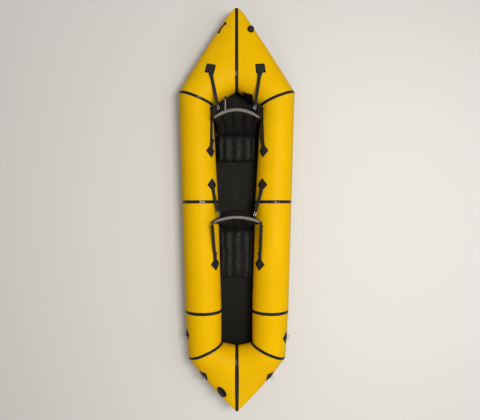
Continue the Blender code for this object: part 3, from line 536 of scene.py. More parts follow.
def endOutline(corner, end, u):
    tip = Vector((end["half"], end["tip"]))
    turn = 1 - end["roundShare"]
    line = tip - corner
    if u < turn:
        out = Vector((abs(line.y), math.copysign(line.x, -line.x * line.y))).normalized()
        return corner + line * u + out * end["bulge"] * math.sin(math.pi * u / turn)
    t = (u - turn) / end["roundShare"]
    return (corner + line * turn) * (1 - t) ** 2 + tip * 2 * t * (1 - t) + Vector((0, end["tip"])) * t**2


def taperHeight(end, nose, angle):
    w = ((1 - math.cos(angle)) / 2) ** hullSizes["taperPower"]
    return nose + end["rise"] * w + lerp(nose, end["radius"], w) * math.sin(angle)


for end, height in ((sternEnd, stations[0][2]), (bowEnd, stations[3][2])):
    end["lowest"] = min(taperHeight(end, height / 2, math.tau * i / 24) for i in range(24))


def hullPoint(place, angle):
    # A point of the right half: place runs from 0 at the stern's middle to 5 at the bow's, and angle
    # from 0 on the inner side over pi / 2 on top
    if place < 0:
        return mirrored(hullPoint(-place, angle))
    if place > lastPlace:
        return mirrored(hullPoint(2 * lastPlace - place, angle))
    end = None
    if place < 1:
        end, u = sternEnd, 1 - place
        inner, outer, height = stations[0]
    elif place > lastPlace - 1:
        end, u = bowEnd, place - lastPlace + 1
        inner, outer, height = stations[3]
    if end:
        inner = lerp(inner, Vector((0, end["nose"])), u)
        outer = endOutline(outer, end, u)
    else:
        number = min(int(place) - 1, 2)
        t = place - 1 - number
        inner, outer, height = [lerp(a, b, t) for a, b in zip(stations[number], stations[number + 1])]
    length = (outer - inner).length
    along = length / 2 * (1 - math.cos(angle))
    up = height / 2 * (1 + math.sin(angle))
    if end:
        nose = height / 2
        w = ((1 - math.cos(angle)) / 2) ** hullSizes["taperPower"]
        taperAlong = lerp(nose, length - end["radius"], w) - lerp(nose, end["radius"], w) * math.cos(angle)
        along = lerp(along, taperAlong, u)
        up = lerp(up, taperHeight(end, nose, angle) - end["lowest"], u)
    flat = inner + (outer - inner) * along / length
    return Vector((flat.x, flat.y, up + hullSizes["bottom"]))


def hullNormal(place, angle, step=0.01):
    run = hullPoint(place + step, angle) - hullPoint(place - step, angle)
    turn = hullPoint(place, angle + step) - hullPoint(place, angle - step)
    return run.cross(turn).normalized()


def flipped(axes, side):
    # Points or directions of the right side, for either side
    return axes if side > 0 else [mirrored(axis) for axis in axes]


def axesMatrix(point, xAxis, yAxis, zAxis):
    return Matrix.Translation(point) @ Matrix((xAxis, yAxis, zAxis)).transposed().to_4x4()


def faceMatrix(point, normal, ahead):
    # Origin at the point, Z along the normal and Y as near to ahead as it can be
    yAxis = (ahead - normal * ahead.dot(normal)).normalized()
    return axesMatrix(point, yAxis.cross(normal), yAxis, normal)


def hullFrame(place, angle, side, lift=0.0, turn=0.0):
    # Origin on the hull, Z out of it, Y along the tube to the stern, turned about Z
    normal = hullNormal(place, angle)
    aft = hullPoint(place - 0.01, angle) - hullPoint(place + 0.01, angle)
    point = hullPoint(place, angle) + normal * lift
    point, normal, aft = flipped((point, normal, aft), side)
    return faceMatrix(point, normal, aft) @ Matrix.Rotation(math.radians(turn) * side, 4, "Z")


def sided(rows, side):
    return [flipped(row, side) for row in rows]


def markSeams(mesh, values):
    attribute = mesh.attributes.new("seam", "FLOAT_VECTOR", "POINT")
    attribute.data.foreach_set("vector", [c for value in values for c in value])


puckerLook = {"Pinch": 0.0018, "Width": 0.020, "Depth": 0.0085, "Fade": 0.050, "Pleats": 22.0}
seamRead = {"girth": 0.15, "seam": 5.1, "side": 2.3}  # metres round the tube per radian, and seeds
bayTitles = ("stern_panel", "aft_tube", "mid_tube", "fore_tube", "bow_panel")
seamTitles = ("stern_corner_tape", "mid_tape", "fore_tape", "bow_corner_tape")


def camel(name):
    first, *rest = name.split("_")
    return first + "".join(word.capitalize() for word in rest)


def seamFacts(seam, side, angle, distance):
    # What the pucker tree reads: metres round the tube, metres from the seam, and a number for each seam
    if seam in (0, lastPlace):
        side = 0  # the two sides share this seam
    return (angle * seamRead["girth"], distance, seam * seamRead["seam"] + side * seamRead["side"])


angles = [math.tau * j / hullSizes["around"] for j in range(hullSizes["around"])]
hullSkin = ([], [])  # points and faces of the finished panels, to lay fittings on
for bay, title in enumerate(bayTitles):
    span = max((hullPoint(bay + 1, a) - hullPoint(bay, a)).length for a in (0, math.pi / 2, math.pi))
    count = round(span / hullSizes["cell"])
    fineRows = [[hullPoint(bay + i / count, a) for a in angles] for i in range(count + 1)]
    for side, word in ((1, "right"), (-1, "left")):
        rows = sided(fineRows, side)
        piece = newPiece(camel(f"{title}_{word}"), gridMesh(title, rows, closed=True, flip=side < 0))
        facts = []
        for i, row in enumerate(rows):
            seam = bay if i * 2 < count else bay + 1
            for j, point in enumerate(row):
                distance = (point - rows[0 if seam == bay else -1][j]).length
                facts.append(seamFacts(seam, side, angles[j], distance))
        markSeams(piece.data, facts)
        runTree(piece, pucker, {**puckerLook, "Surface": coated})
        base = len(hullSkin[0])
        hullSkin[0].extend(v.co.copy() for v in piece.data.vertices)
        hullSkin[1].extend([base + v for v in face.vertices] for face in piece.data.polygons)
        thicken(piece, hullSizes["wall"], -1)
        finishPiece(piece, "hull", f"{title}_{word}")
hullTree = BVHTree.FromPolygons(*hullSkin)
print("hull panels:", len(bayTitles) * 2)

# Seam tapes

tapeSizes = {
    "width": 0.026, "wall": 0.0007, "lift": 0.0008, "lowAngle": -60, "highAngle": 258, "steps": 150,
    "columns": 7, "probe": 0.02, "edgeDrop": 0.5, "edgePower": 4,
}


def addTape(name, seam, side):
    rows, facts = [], []
    t = tapeSizes
    for i in range(t["steps"] + 1):
        angle = math.radians(lerp(t["lowAngle"], t["highAngle"], i / t["steps"]))
        middle = hullPoint(seam, angle)
        row = []
        for j in range(t["columns"]):
            share = 2 * j / (t["columns"] - 1) - 1
            way = math.copysign(1, share)
            rate = (hullPoint(seam + t["probe"] * way, angle) - middle).length / t["probe"]
            place = seam + t["width"] / 2 * share / rate
            lift = t["lift"] * (1 - t["edgeDrop"] * abs(share) ** t["edgePower"])
            row.append(hullPoint(place, angle) + hullNormal(place, angle) * lift)
            facts.append(seamFacts(seam, side, angle, t["width"] / 2 * abs(share)))
        rows.append(row)
    piece = newPiece(camel(name), gridMesh(name, sided(rows, side), flip=side > 0))
    markSeams(piece.data, facts)
    runTree(piece, pucker, {**puckerLook, "Surface": taped})
    thicken(piece, t["wall"])
    finishPiece(piece, "hull", name)


for side, word in ((1, "right"), (-1, "left")):
    for seam, title in enumerate(seamTitles):
        addTape(f"{title}_{word}", seam + 1, side)
addTape("stern_centre_tape", 0, 1)
addTape("bow_centre_tape", lastPlace, 1)
print("seam tapes done")

# Floor and the tape that joins it to the tubes

floorSizes = {
    "wall": 0.0012, "lap": 0.014, "wave": 0.0022, "columns": 36, "cell": 0.010, "edgeSteps": 20,
    "lowAngles": (-120, -44, 5), "narrowest": 0.004, "edgePower": 4, "creaseFloor": -0.4,
}


def floorEdge():
    # Points of the right edge from stern to bow, a lap past the lowest line of the tubes
    edge = []
    for i in range(floorSizes["edgeSteps"] * lastPlace + 1):
        place = i / floorSizes["edgeSteps"]
        lows = [hullPoint(place, math.radians(a)) for a in range(*floorSizes["lowAngles"])]
        low = min(lows, key=lambda p: p.z)
        out = hullPoint(place, math.pi) - hullPoint(place, 0)
        out.z = 0
        edge.append(low + out.normalized() * floorSizes["lap"])
    return edge


def halfWidthAt(edge, y):
    # Half the floor's width at a place along the boat
    for a, b in zip(edge, edge[1:]):
        if b.y <= y <= a.y:
            return lerp(a.x, b.x, (a.y - y) / max(a.y - b.y, 1e-9))
    return 0


def addFloor():
    edge = floorEdge()
    count = round((edge[0].y - edge[-1].y) / floorSizes["cell"])
    wall = floorSizes["wall"]
    rows = []
    for i in range(count + 1):
        y = lerp(edge[0].y, edge[-1].y, i / count)
        half = max(halfWidthAt(edge, y), floorSizes["narrowest"])
        row = []
        for j in range(floorSizes["columns"] + 1):
            share = 2 * j / floorSizes["columns"] - 1
            x = half * share
            slow = noise.noise(Vector((x * 5, y * 2.2, 3.1)))
            creases = noise.noise(Vector((x * 22 + slow * 2, y * 7, 8.4)))
            pull = (1 - share ** floorSizes["edgePower"]) * floorSizes["wave"]
            wave = 0.5 + 0.6 * slow + 0.5 * max(creases, floorSizes["creaseFloor"])
            row.append(Vector((x, y, wall + pull * wave)))
        rows.append(row)
    floor = newPiece("floorSheet", gridMesh("floorSheet", rows), floorCloth)
    thicken(floor, wall, -1)
    finishPiece(floor, "hull", "floor_sheet")


floorTapeSizes = {
    "low": -84, "high": -42, "steps": 60, "columns": 6, "endGap": 0.004, "lift": 0.0008, "middleGap": 0.0004,
}


def addFloorTape(side, word):
    t = floorTapeSizes
    rows = []
    for i in range(t["steps"] * lastPlace + 1):
        place = lerp(t["endGap"], lastPlace - t["endGap"], i / (t["steps"] * lastPlace))
        row = []
        for j in range(t["columns"] + 1):
            angle = math.radians(lerp(t["low"], t["high"], j / t["columns"]))
            point = hullPoint(place, angle) + hullNormal(place, angle) * t["lift"]
            point.x = max(point.x, t["middleGap"])
            row.append(point)
        rows.append(row)
    piece = newPiece(f"floorTape{word}", gridMesh("floorTape", sided(rows, side), flip=side < 0), taped)
    thicken(piece, tapeSizes["wall"])
    finishPiece(piece, "hull")


addFloor()
addFloorTape(1, "Right")
addFloorTape(-1, "Left")
print("floor tapes done")

# Seats: inflated pads and backrests with sewn channels

seatSizes = {
    "padWidth": 0.330, "padThick": 0.090, "padFlat": 0.004, "padSteps": 66, "padAround": 72, "sideGap": 0.008,
    "grooveWidth": 0.010, "grooveDepth": 0.018, "frontPucker": 0.013, "foot": 0.025, "footGap": 0.0005,
    "topThick": 0.030, "topRound": 0.022, "backHeight": 0.330, "backSteps": 72, "heightSteps": 30,
    "roundSteps": 6, "footSteps": 8, "bulge": 0.075, "backGroove": 0.015, "droop": 0.014, "edgeDrop": 0.72,
    "wingClear": 0.013, "leanBack": 6, "leantClear": 0.020, "floor": 0.0015, "hingeZ": 0.0265,
}
swellLook = {
    "voxel": 0.005, "shrink": 0.004, "frames": 20, "cap": 0.010, "pinWidth": 0.006, "pleat": 0.0011,
    "pleatWidth": 0.018, "pleats": 62.0, "valley": 0.0045, "valleyWidth": 0.005, "grain": 0.0008,
    "topReach": 0.060, "topStep": 0.012,
}
clothSettings = {
    "vertex_group_mass": "pins", "use_pressure": True, "uniform_pressure_force": 4.0, "shrink_min": -0.035,
    "tension_stiffness": 18, "compression_stiffness": 18, "bending_stiffness": 0.4, "mass": 0.25,
}
seats = {
    "aft": {
        "hingeY": 0.667, "recline": 24, "padLength": 0.198, "halfWidth": 0.185, "wing": 0.070, "bend": 0.085,
        "oralUp": 0.235, "oralSide": 0.095, "rearStrap": (0.77, 0.86), "frontStrap": (0.95, 0.80),
        "pitch": 0.085, "shift": 0.010, "dimple": 0.0, "crumple": 0.004, "tab": 0.010, "lip": 0.040,
        "band": 0.027, "hookGap": 0.070,
    },
    "fore": {
        "hingeY": -0.155, "recline": 15, "padLength": 0.418, "halfWidth": 0.208, "wing": 0.048, "bend": 0.022,
        "oralUp": 0.100, "oralSide": 0.030, "rearStrap": (0.775, 0.84), "frontStrap": (0.95, 0.95),
        "pitch": 0.081, "shift": 0.007, "dimple": 0.012, "crumple": 0.009, "tab": 0.030, "lip": 0.012,
        "band": 0.020, "hookGap": 0.049,
    },
}
for name, seat in seats.items():
    hinge = Matrix.Translation((0, seat["hingeY"], seatSizes["hingeZ"]))
    seat["matrix"] = hinge @ Matrix.Rotation(-math.radians(seat["recline"]), 4, "X")
    seat["leant"] = hinge @ Matrix.Rotation(-math.radians(seat["recline"] + seatSizes["leanBack"]), 4, "X")
    seat["name"] = name
    seat["body"] = f"{name}_back"


def power(value, exponent):
    return math.copysign(abs(value) ** exponent, value)


def clearHalfWidth(y, z, clearance):
    # Half the gap between the tubes at a height, less a clearance
    for a, b in zip(stations, stations[1:]):
        midA, midB = (a[0] + a[1]) / 2, (b[0] + b[1]) / 2
        if y >= midB.y or b is stations[-1]:
            t = min(max((midA.y - y) / (midA.y - midB.y), 0), 1)
            break
    half = lerp((a[1] - a[0]).length, (b[1] - b[0]).length, t) / 2 + clearance
    radius = lerp(a[2], b[2], t) / 2
    share = min(abs(z - hullSizes["bottom"] - radius) / (radius + clearance), 1)
    return lerp(midA.x, midB.x, t) - half * math.sqrt(1 - share**2)


def channelPull(seat, x, width):
    # 1 on a sewn channel and 0 between them
    return max(bell(abs(x - seat["shift"]) - n * seat["pitch"], width) for n in (0.5, 1.5))


def edgeFall(share):
    return math.sqrt(max(1 - seatSizes["edgeDrop"] * abs(share) ** 9, 0))


def backWing(seat, share, height):
    thick, tall = seatSizes["padThick"], seatSizes["backHeight"]
    return seat["wing"] * share**2 * max((height - thick) / (tall - thick), 0) ** 1.2


def backPoint(seat, share, height, depth):
    # A point of the backrest in its own frame; depth is behind its middle plane. It clears the tubes
    # where it stands and where it leans furthest back
    s = seatSizes
    up = height - s["droop"] * share**2 * max(height, 0) / s["backHeight"]
    y = depth - backWing(seat, share, height)
    half = seat["halfWidth"]
    for matrix, clearance in ((seat["matrix"], s["wingClear"]), (seat["leant"], s["leantClear"])):
        world = matrix @ Vector((0, y, up))
        z = max(world.z, s["floor"] + hullSizes["tubes"][1] / 2)
        half = min(half, clearHalfWidth(world.y, z, clearance))
    return Vector((share * half, y, up))


def halfThick(share, up):
    return lerp(seatSizes["foot"], seatSizes["topThick"] / 2, up) * edgeFall(share)


def frontDepth(seat, share, height):
    up = height / seatSizes["backHeight"]
    seam = channelPull(seat, share * seat["halfWidth"], seatSizes["grooveWidth"])
    return -halfThick(share, up) + seatSizes["backGroove"] * seam * math.sin(math.pi * up)


def rearDepth(share, height):
    up = height / seatSizes["backHeight"]
    return halfThick(share, up) + seatSizes["bulge"] * (1 - share**2) * math.sin(math.pi * up) ** 1.5


def crossShares(steps, ends=0.35):
    # Shares from -1 to 1, closer together near both ends
    even = [i / steps for i in range(steps + 1)]
    return [math.sin(math.pi * (t - 0.5)) * ends + (2 * t - 1) * (1 - ends) for t in even]


def padRings(seat):
    # Rings of the pad from its left side to its right, each one a rounded oblong
    s = seatSizes
    low, thick = s["floor"], s["padThick"]
    middleY = seat["hingeY"] - s["foot"] - s["footGap"] - seat["padLength"] / 2
    rings = []
    for share in crossShares(s["padSteps"]):
        seam = channelPull(seat, share * s["padWidth"] / 2, s["grooveWidth"])
        ring = []
        for j in range(s["padAround"]):
            angle = math.tau * j / s["padAround"]
            front = math.cos(angle) < 0
            v, w = power(math.cos(angle), 0.8 if front else 0.5), power(math.sin(angle), 0.6)
            reach = seat["padLength"] / 2 + (seat["lip"] - s["frontPucker"] * seam if front else 0)
            rise = thick / 2 * edgeFall(share) - (s["grooveDepth"] / 2 * seam if w > 0 else 0)
            z = low + thick / 2 - s["padFlat"] + w * rise
            y = middleY + v * reach
            half = min(s["padWidth"] / 2, clearHalfWidth(y, low + thick, s["sideGap"]))
            ring.append(Vector((share * half, y, max(z, low))))
        rings.append(ring)
    return rings


def backRings(seat):
    # Rings of the backrest from its left side to its right: up the front, over the top, down the rear
    s = seatSizes
    tall, lowest = s["backHeight"], 90 - seat["recline"]
    heights = [tall * up / s["heightSteps"] for up in range(s["heightSteps"] - 1)]
    rings = []
    for share in crossShares(s["backSteps"]):
        fall = edgeFall(share)
        ring = [backPoint(seat, share, height, frontDepth(seat, share, height)) for height in heights]
        for turn in range(s["roundSteps"] + 1):  # rounded top edge
            angle = math.pi * turn / s["roundSteps"]
            height = tall - s["topRound"] + s["topRound"] * math.sin(angle)
            ring.append(backPoint(seat, share, height, -s["topThick"] / 2 * fall * math.cos(angle)))
        ring += [backPoint(seat, share, height, rearDepth(share, height)) for height in heights[::-1]]
        for turn in range(1, s["footSteps"]):  # rounded foot
            angle = math.radians(lowest * 2 * turn / s["footSteps"])
            point = backPoint(seat, share, 0, s["foot"] * fall * math.cos(angle))
            point.z = -s["foot"] * fall * math.sin(angle)
            ring.append(point)
        rings.append([seat["matrix"] @ point for point in ring])
    return rings


def blownUp(piece, rest, isPinned):
    # Where the points go when the piece is blown up as cloth with its seams held
    pins = piece.vertex_groups.new(name="pins")
    for i, spot in enumerate(rest):
        hold = isPinned(spot)
        if hold > 0.01:
            pins.add([i], min(hold, 1), "REPLACE")
    cloth = piece.modifiers.new("swell", "CLOTH")
    for key, value in clothSettings.items():
        setattr(cloth.settings, key, value)
    cloth.settings.effector_weights.gravity = 0
    cloth.point_cache.frame_start, cloth.point_cache.frame_end = 1, swellLook["frames"]
    for tick in range(1, swellLook["frames"] + 1):
        scene.frame_set(tick)
    graph = bpy.context.evaluated_depsgraph_get()
    blown = [v.co.copy() for v in piece.evaluated_get(graph).to_mesh().vertices]
    piece.modifiers.clear()
    piece.vertex_groups.clear()
    scene.frame_set(1)
    return blown


def swell(piece, isPinned):
    # Shrinks a body a little, remeshes it, blows it up by no more than the cap, and smooths it once
    mesh = piece.data
    for vert, facing in zip(mesh.vertices, [v.normal.copy() for v in mesh.vertices]):
        vert.co -= facing * swellLook["shrink"]
    remesh = piece.modifiers.new("remesh", "REMESH")
    remesh.mode = "VOXEL"
    remesh.voxel_size = swellLook["voxel"]
    settle(piece)
    rest = [v.co.copy() for v in piece.data.vertices]
    for vert, old, new in zip(piece.data.vertices, rest, blownUp(piece, rest, isPinned)):
        step = new - old
        vert.co = old + step * min(1, swellLook["cap"] / max(step.length, 1e-9))
    finer = piece.modifiers.new("finer", "SUBSURF")
    finer.levels = finer.render_levels = 1
    settle(piece)
    piece.data.shade_smooth()


def crease(piece, measure):
    # Moves each point along its normal by what measure gives for its place
    facings = [v.normal.copy() for v in piece.data.vertices]
    for vert, facing in zip(piece.data.vertices, facings):
        vert.co += facing * measure(vert.co, facing)


def folds(along, other, seed):
    # Soft pleats that run away from a seam, about one high
    wave = noise.noise(Vector((along * swellLook["pleats"], other * 9, seed)))
    return wave + 0.5 * noise.noise(Vector((along * swellLook["pleats"] * 2.1, other * 14, seed + 4)))


def finishSeat(piece, node, body, cloth):
    piece.data.materials.clear()
    piece.data.materials.append(cloth)
    finishPiece(piece, body, node)


def reachBand(piece, seat):
    # Draws the top edge up to the band that is sewn over it
    inverse = seat["matrix"].inverted()
    tall = seatSizes["backHeight"]
    low, pitch = tall - swellLook["topReach"], swellLook["topStep"]
    spots = [inverse @ v.co for v in piece.data.vertices]
    tops = {}
    for spot in spots:
        key = math.floor(spot.x / pitch)
        tops[key] = max(tops.get(key, low), spot.z)
    for vert, spot in zip(piece.data.vertices, spots):
        if spot.z > low:
            place = spot.x / pitch - 0.5
            key = math.floor(place)
            own = tops[math.floor(spot.x / pitch)]
            top = lerp(tops.get(key, own), tops.get(key + 1, own), place - key)
            wanted = tall - seatSizes["droop"] * min(abs(spot.x) / seat["halfWidth"], 1) ** 2
            spot.z += (wanted - top) * smooth((spot.z - low) / max(top - low, 1e-6))
            vert.co = seat["matrix"] @ spot


padLook = {
    "heldBelow": 0.008, "heldAbove": 0.35, "seamPleats": 0.6, "rimWidth": 0.05, "gatherWidth": 0.075,
    "gatherStart": 0.03, "gather": 0.45, "dent": 0.5, "dentAcross": 0.03, "dentAlong": 0.02,
}


def addPad(seat):
    piece = newPiece(f"{seat['name']}SeatPad", loftMesh("pad", padRings(seat)))
    front = seat["hingeY"] - seatSizes["foot"] - seat["padLength"] - seat["lip"]
    low = seatSizes["floor"]
    p = padLook

    def pinned(spot):
        base = 1 if spot.z < low + p["heldBelow"] else 0
        onTop = spot.z > low + seatSizes["padThick"] * p["heldAbove"]
        return max(base, channelPull(seat, spot.x, swellLook["pinWidth"]) if onTop else 0)

    def measure(spot, facing):
        if facing.z < -0.5:
            return 0
        seamPull = channelPull(seat, spot.x, swellLook["valleyWidth"])
        pleatPull = channelPull(seat, spot.x, swellLook["pleatWidth"])
        pleats = folds(spot.y, spot.x, 2.0) * max(facing.z, 0.2)
        move = -swellLook["valley"] * seamPull * max(facing.z, 0)
        move += swellLook["pleat"] * p["seamPleats"] * pleatPull * pleats
        rim = bell(spot.y - front, p["rimWidth"]) * max(0.3, -facing.y)
        move += swellLook["pleat"] * rim * folds(spot.x, spot.z, 5.0)
        gather = bell(spot.x, p["gatherWidth"]) * bell(spot.y - front - p["gatherStart"], p["rimWidth"])
        rays = math.atan2(spot.x, spot.y - front + p["gatherStart"])
        rays = noise.noise(Vector((rays * 7, spot.y * 4, 1.0)))
        dent = bell(spot.x - 0.006, p["dentAcross"]) * bell(spot.y - front - 0.012, p["dentAlong"])
        move += seat["dimple"] * (p["gather"] * gather * rays - p["dent"] * dent)
        return move + swellLook["grain"] * noise.noise(spot * 26)

    swell(piece, pinned)
    crease(piece, measure)
    for vert in piece.data.vertices:
        vert.co.z = max(vert.co.z, low)
    finishSeat(piece, f"{seat['name']}_seat_pad", "hull", seatCloth)


def addBackrest(seat):
    piece = newPiece(f"{seat['name']}Backrest", loftMesh("back", backRings(seat)))
    inverse = seat["matrix"].inverted()
    tall, footHeld, topHeld = seatSizes["backHeight"], 0.004, 0.02

    def pinned(spot):
        local = inverse @ spot
        atEnds = 1 if local.z < 0.0 or local.z > tall - topHeld else 0
        return max(atEnds, channelPull(seat, spot.x, swellLook["pinWidth"]) if local.y < 0.0 else 0)

    def measure(spot, facing):
        local = inverse @ spot
        if local.z < footHeld:
            return 0
        middle = math.sin(math.pi * min(max(local.z / tall, 0), 1)) ** 0.5
        if facing.y < -0.3:
            move = -swellLook["valley"] * channelPull(seat, spot.x, swellLook["valleyWidth"])
            pleatPull = channelPull(seat, spot.x, swellLook["pleatWidth"])
            return (move + swellLook["pleat"] * pleatPull * folds(local.z, spot.x, 7.0)) * middle
        slow = noise.noise(Vector((spot.x * 9, local.z * 11, 3.0)))
        sharp = 1 - 2 * abs(noise.noise(Vector((spot.x * 16 + slow * 2, local.z * 22, 6.0))))
        return seat["crumple"] * middle * (0.5 * slow + 0.6 * sharp - 0.5)

    swell(piece, pinned)
    crease(piece, measure)
    reachBand(piece, seat)
    finishSeat(piece, f"{seat['name']}_backrest", seat["body"], litBackCloth)


for seat in seats.values():
    addPad(seat)
    addBackrest(seat)
    print("seat", seat["name"], "blown up")

# Laying fittings on the hull

fittingSizes = {
    "lift": 0.0009, "bowLift": 0.0007, "patch": 0.080, "patchCorner": 0.007, "patchWall": 0.0015,
    "padCorner": 0.005, "padSink": 0.0002, "padHem": 0.90, "hemLift": 0.0003, "strapStep": 0.007,
    "strapLift": 0.0035, "sink": 0.0006,
}
stitchSizes = {"Pitch": 0.0042, "Length": 0.0026, "Thread": 0.0011}
stitchRuns = {"hull": [], "aft_back": [], "fore_back": []}


def laidPoint(point, lift):
    spot, facing = hullTree.find_nearest(point)[:2]
    return spot + facing * lift


def patchLift(place):
    return fittingSizes["bowLift"] if place > lastPlace - 1 else fittingSizes["lift"]


def fittingFrame(share, side, lift=0.0):
    return hullFrame(share[0], math.radians(share[1]), side, lift, share[2])


def roundedOutline(width, length, corner, edgeSteps=6, cornerSteps=5):
    # Anticlockwise outline of a rectangle with round corners
    points = []
    for number, (a, b) in enumerate(((1, 1), (-1, 1), (-1, -1), (1, -1))):
        centre = Vector((a * (width / 2 - corner), b * (length / 2 - corner), 0))
        for i in range(cornerSteps + 1):
            turn = math.pi / 2 * (number + i / cornerSteps)
            points.append(centre + Vector((math.cos(turn), math.sin(turn), 0)) * corner)
    full = []
    for i, point in enumerate(points):
        full.append(point)
        far = points[(i + 1) % len(points)]
        if (i + 1) % (cornerSteps + 1) == 0:
            full += [lerp(point, far, step / edgeSteps) for step in range(1, edgeSteps)]
    return full


def ovalOutline(width, length, count=56):
    turns = [math.tau * i / count for i in range(count)]
    return [Vector((width / 2 * math.cos(t), length / 2 * math.sin(t), 0)) for t in turns]


def layMesh(name, patch, outline, lift, rings=9):
    # An outline filled with rings, laid on the hull, with UV in metres
    work = bmesh.new()
    layer = work.loops.layers.uv.new("lay")
    flats = {}

    def add(flat):
        vert = work.verts.new(laidPoint(patch @ flat, lift))
        flats[vert] = flat
        return vert

    centre = add(Vector())
    inner = None
    for i in range(1, rings + 1):
        ring = [add(point * i / rings) for point in outline]
        for j in range(len(ring)):
            k = (j + 1) % len(ring)
            if inner:
                work.faces.new((inner[j], ring[j], ring[k], inner[k]))
            else:
                work.faces.new((centre, ring[j], ring[k]))
        inner = ring
    for face in work.faces:
        for loop in face.loops:
            loop[layer].uv = flats[loop.vert].xy
    return meshFrom(name, work)


def laidRun(patch, outline, lift, share):
    # The outline at a share of its size, laid on the hull and closed
    points = [laidPoint(patch @ (point * share), lift) for point in outline]
    return points + points[:1]


def layPatch(name, patch, outline, lift, wall, surface, node=None, hem=0.84):
    # A welded or sewn patch with a row of stitches inside its edge
    piece = newPiece(name, layMesh(name, patch, outline, lift), surface)
    thicken(piece, wall)
    softEdge(piece, wall * 0.4)
    if hem:
        stitchRuns["hull"].append(laidRun(patch, outline, lift + wall + fittingSizes["hemLift"], hem))
    finishPiece(piece, "hull", node)


def eased(values):
    # Each value drawn towards its neighbours, apart from the two at the ends
    inner = [(a + b * 2 + c) / 4 for a, b, c in zip(values, values[1:], values[2:])]
    return [values[0], *inner, values[-1]]


def evenRun(points, step, rounds=4):
    # The same line in even steps, with its corners eased
    lengths = runLengths(points)
    count = max(round(lengths[-1] / step), 4)
    even = []
    for i in range(count + 1):
        far = lengths[-1] * i / count
        k = max(j for j in range(len(points)) if lengths[j] <= far + 1e-9)
        if k == len(points) - 1:
            even.append(points[-1].copy())
        else:
            even.append(lerp(points[k], points[k + 1], (far - lengths[k]) / (lengths[k + 1] - lengths[k])))
    for _ in range(rounds):
        even = eased(even)
    return even


def headings(points):
    # The direction of a line at each of its points
    last = len(points) - 1
    return [(points[min(i + 1, last)] - points[max(i - 1, 0)]).normalized() for i in range(last + 1)]


def ribbonMesh(name, points, facings, width, columns=6):
    # A strip along points, with U across it and V along it
    rows = []
    for point, ahead, facing in zip(points, headings(points), facings):
        across = ahead.cross(facing).normalized()
        shares = [2 * j / columns - 1 for j in range(columns + 1)]
        rows.append([point + across * width / 2 * share for share in shares])
    return gridMesh(name, rows, flip=True)


def layDoublePatch(title, share, side, padSize, padWall, node):
    # A square base patch with a smaller sewn patch on it
    f = fittingSizes
    patch, lift = fittingFrame(share, side), patchLift(share[0])
    base = roundedOutline(f["patch"], f["patch"], f["patchCorner"])
    layPatch(f"{title}Patch", patch, base, lift, f["patchWall"], taped, node, hem=0)
    small = roundedOutline(padSize, padSize, f["padCorner"])
    padLift = lift + f["patchWall"] - f["padSink"]
    layPatch(f"{title}Pad", patch, small, padLift, padWall, patchCloth, hem=f["padHem"])


def addRibbon(name, points, facings, width, wall, body="hull", node=None):
    # A strip of webbing; without a body the caller finishes it
    piece = newPiece(name, ribbonMesh(name, points, facings, width), webbing)
    thicken(piece, wall, 0)
    softEdge(piece, wall * 0.35)
    if body:
        finishPiece(piece, body, node)
    return piece


def hullFacings(points, lean=1.0):
    # The hull's facing along a run, leaned a little upright and evened out
    facings = [(hullTree.find_nearest(p)[1] + Vector((0, 0, lean))).normalized() for p in points]
    for _ in range(6):
        facings = eased(facings)
    return facings


def bandFacings(points, across):
    # Facings of a band that bends about one direction, square to each of its steps
    facings = [across.cross(b - a).normalized() for a, b in zip(points, points[1:])]
    return facings + facings[-1:]


def boxPath(left, right, low, high, crossed=False):
    path = [(left, low), (right, low), (right, high), (left, high), (left, low)]
    return path + [(right, high)] if crossed else path


def wireRings(points, radius, closed, sides):
    rings = []
    count = len(points)
    up = None
    for i, point in enumerate(points):
        before = points[i - 1] if closed or i else point
        after = points[(i + 1) % count] if closed or i < count - 1 else point
        ahead = (after - before).normalized()
        if up is None:
            up = ahead.orthogonal().normalized()
        up = (up - ahead * up.dot(ahead)).normalized()
        side = ahead.cross(up)
        turns = [math.tau * j / sides for j in range(sides)]
        rings.append([point + (up * math.cos(t) + side * math.sin(t)) * radius for t in turns])
    return rings


def loopMesh(name, points, radius, sides=14):
    # A round wire along a closed line
    rings = wireRings(points, radius, True, sides)
    work = bmesh.new()
    grid = [[work.verts.new(p) for p in ring] for ring in rings]
    shift = min(range(sides), key=lambda j: (rings[-1][j] - rings[0][0]).length)
    last = grid[-1][shift:] + grid[-1][:shift]
    for a, b in [*zip(grid, grid[1:]), (last, grid[0])]:
        for j in range(sides):
            k = (j + 1) % sides
            work.faces.new((a[j], a[k], b[k], b[j]))
    bmesh.ops.recalc_face_normals(work, faces=work.faces)
    return meshFrom(name, work)


def wireMesh(name, points, radius, sides=14):
    # A round wire along an open line, with round ends
    rings = wireRings(points, radius, False, sides)
    for end, beyond in ((0, 1), (-1, -2)):
        tip = (points[end] - points[beyond]).normalized()
        rounded = []
        for angle in (0.5, 1.0, 1.35):
            middle = points[end] + tip * radius * math.sin(angle)
            rounded.append([middle + (p - points[end]) * math.cos(angle) for p in rings[end]])
        rings = rings + rounded if end else rounded[::-1] + rings
    return loftMesh(name, rings)


def turnedMesh(name, profile, steps=96):
    # Radius and height pairs turned about Z and closed at both ends
    rings = []
    for radius, height in profile:
        turns = [math.tau * i / steps for i in range(steps)]
        rings.append([Vector((radius * math.cos(t), radius * math.sin(t), height)) for t in turns])
    return loftMesh(name, rings)


def roundedBox(low, high, edge=0.001, segments=3):
    work = bmesh.new()
    bmesh.ops.create_cube(work, size=1)
    for vert in work.verts:
        vert.co = Vector(lerp(a, b, c + 0.5) for a, b, c in zip(low, high, vert.co))
    bmesh.ops.bevel(work, geom=work.edges, offset=edge, segments=segments, affect="EDGES", profile=0.5)
    return meshFrom("box", work)


def placed(mesh, matrix):
    mesh.transform(matrix)
    return mesh


# Seat bands: a stiff grey strip stitched over each backrest's top edge, with dark sewn ends

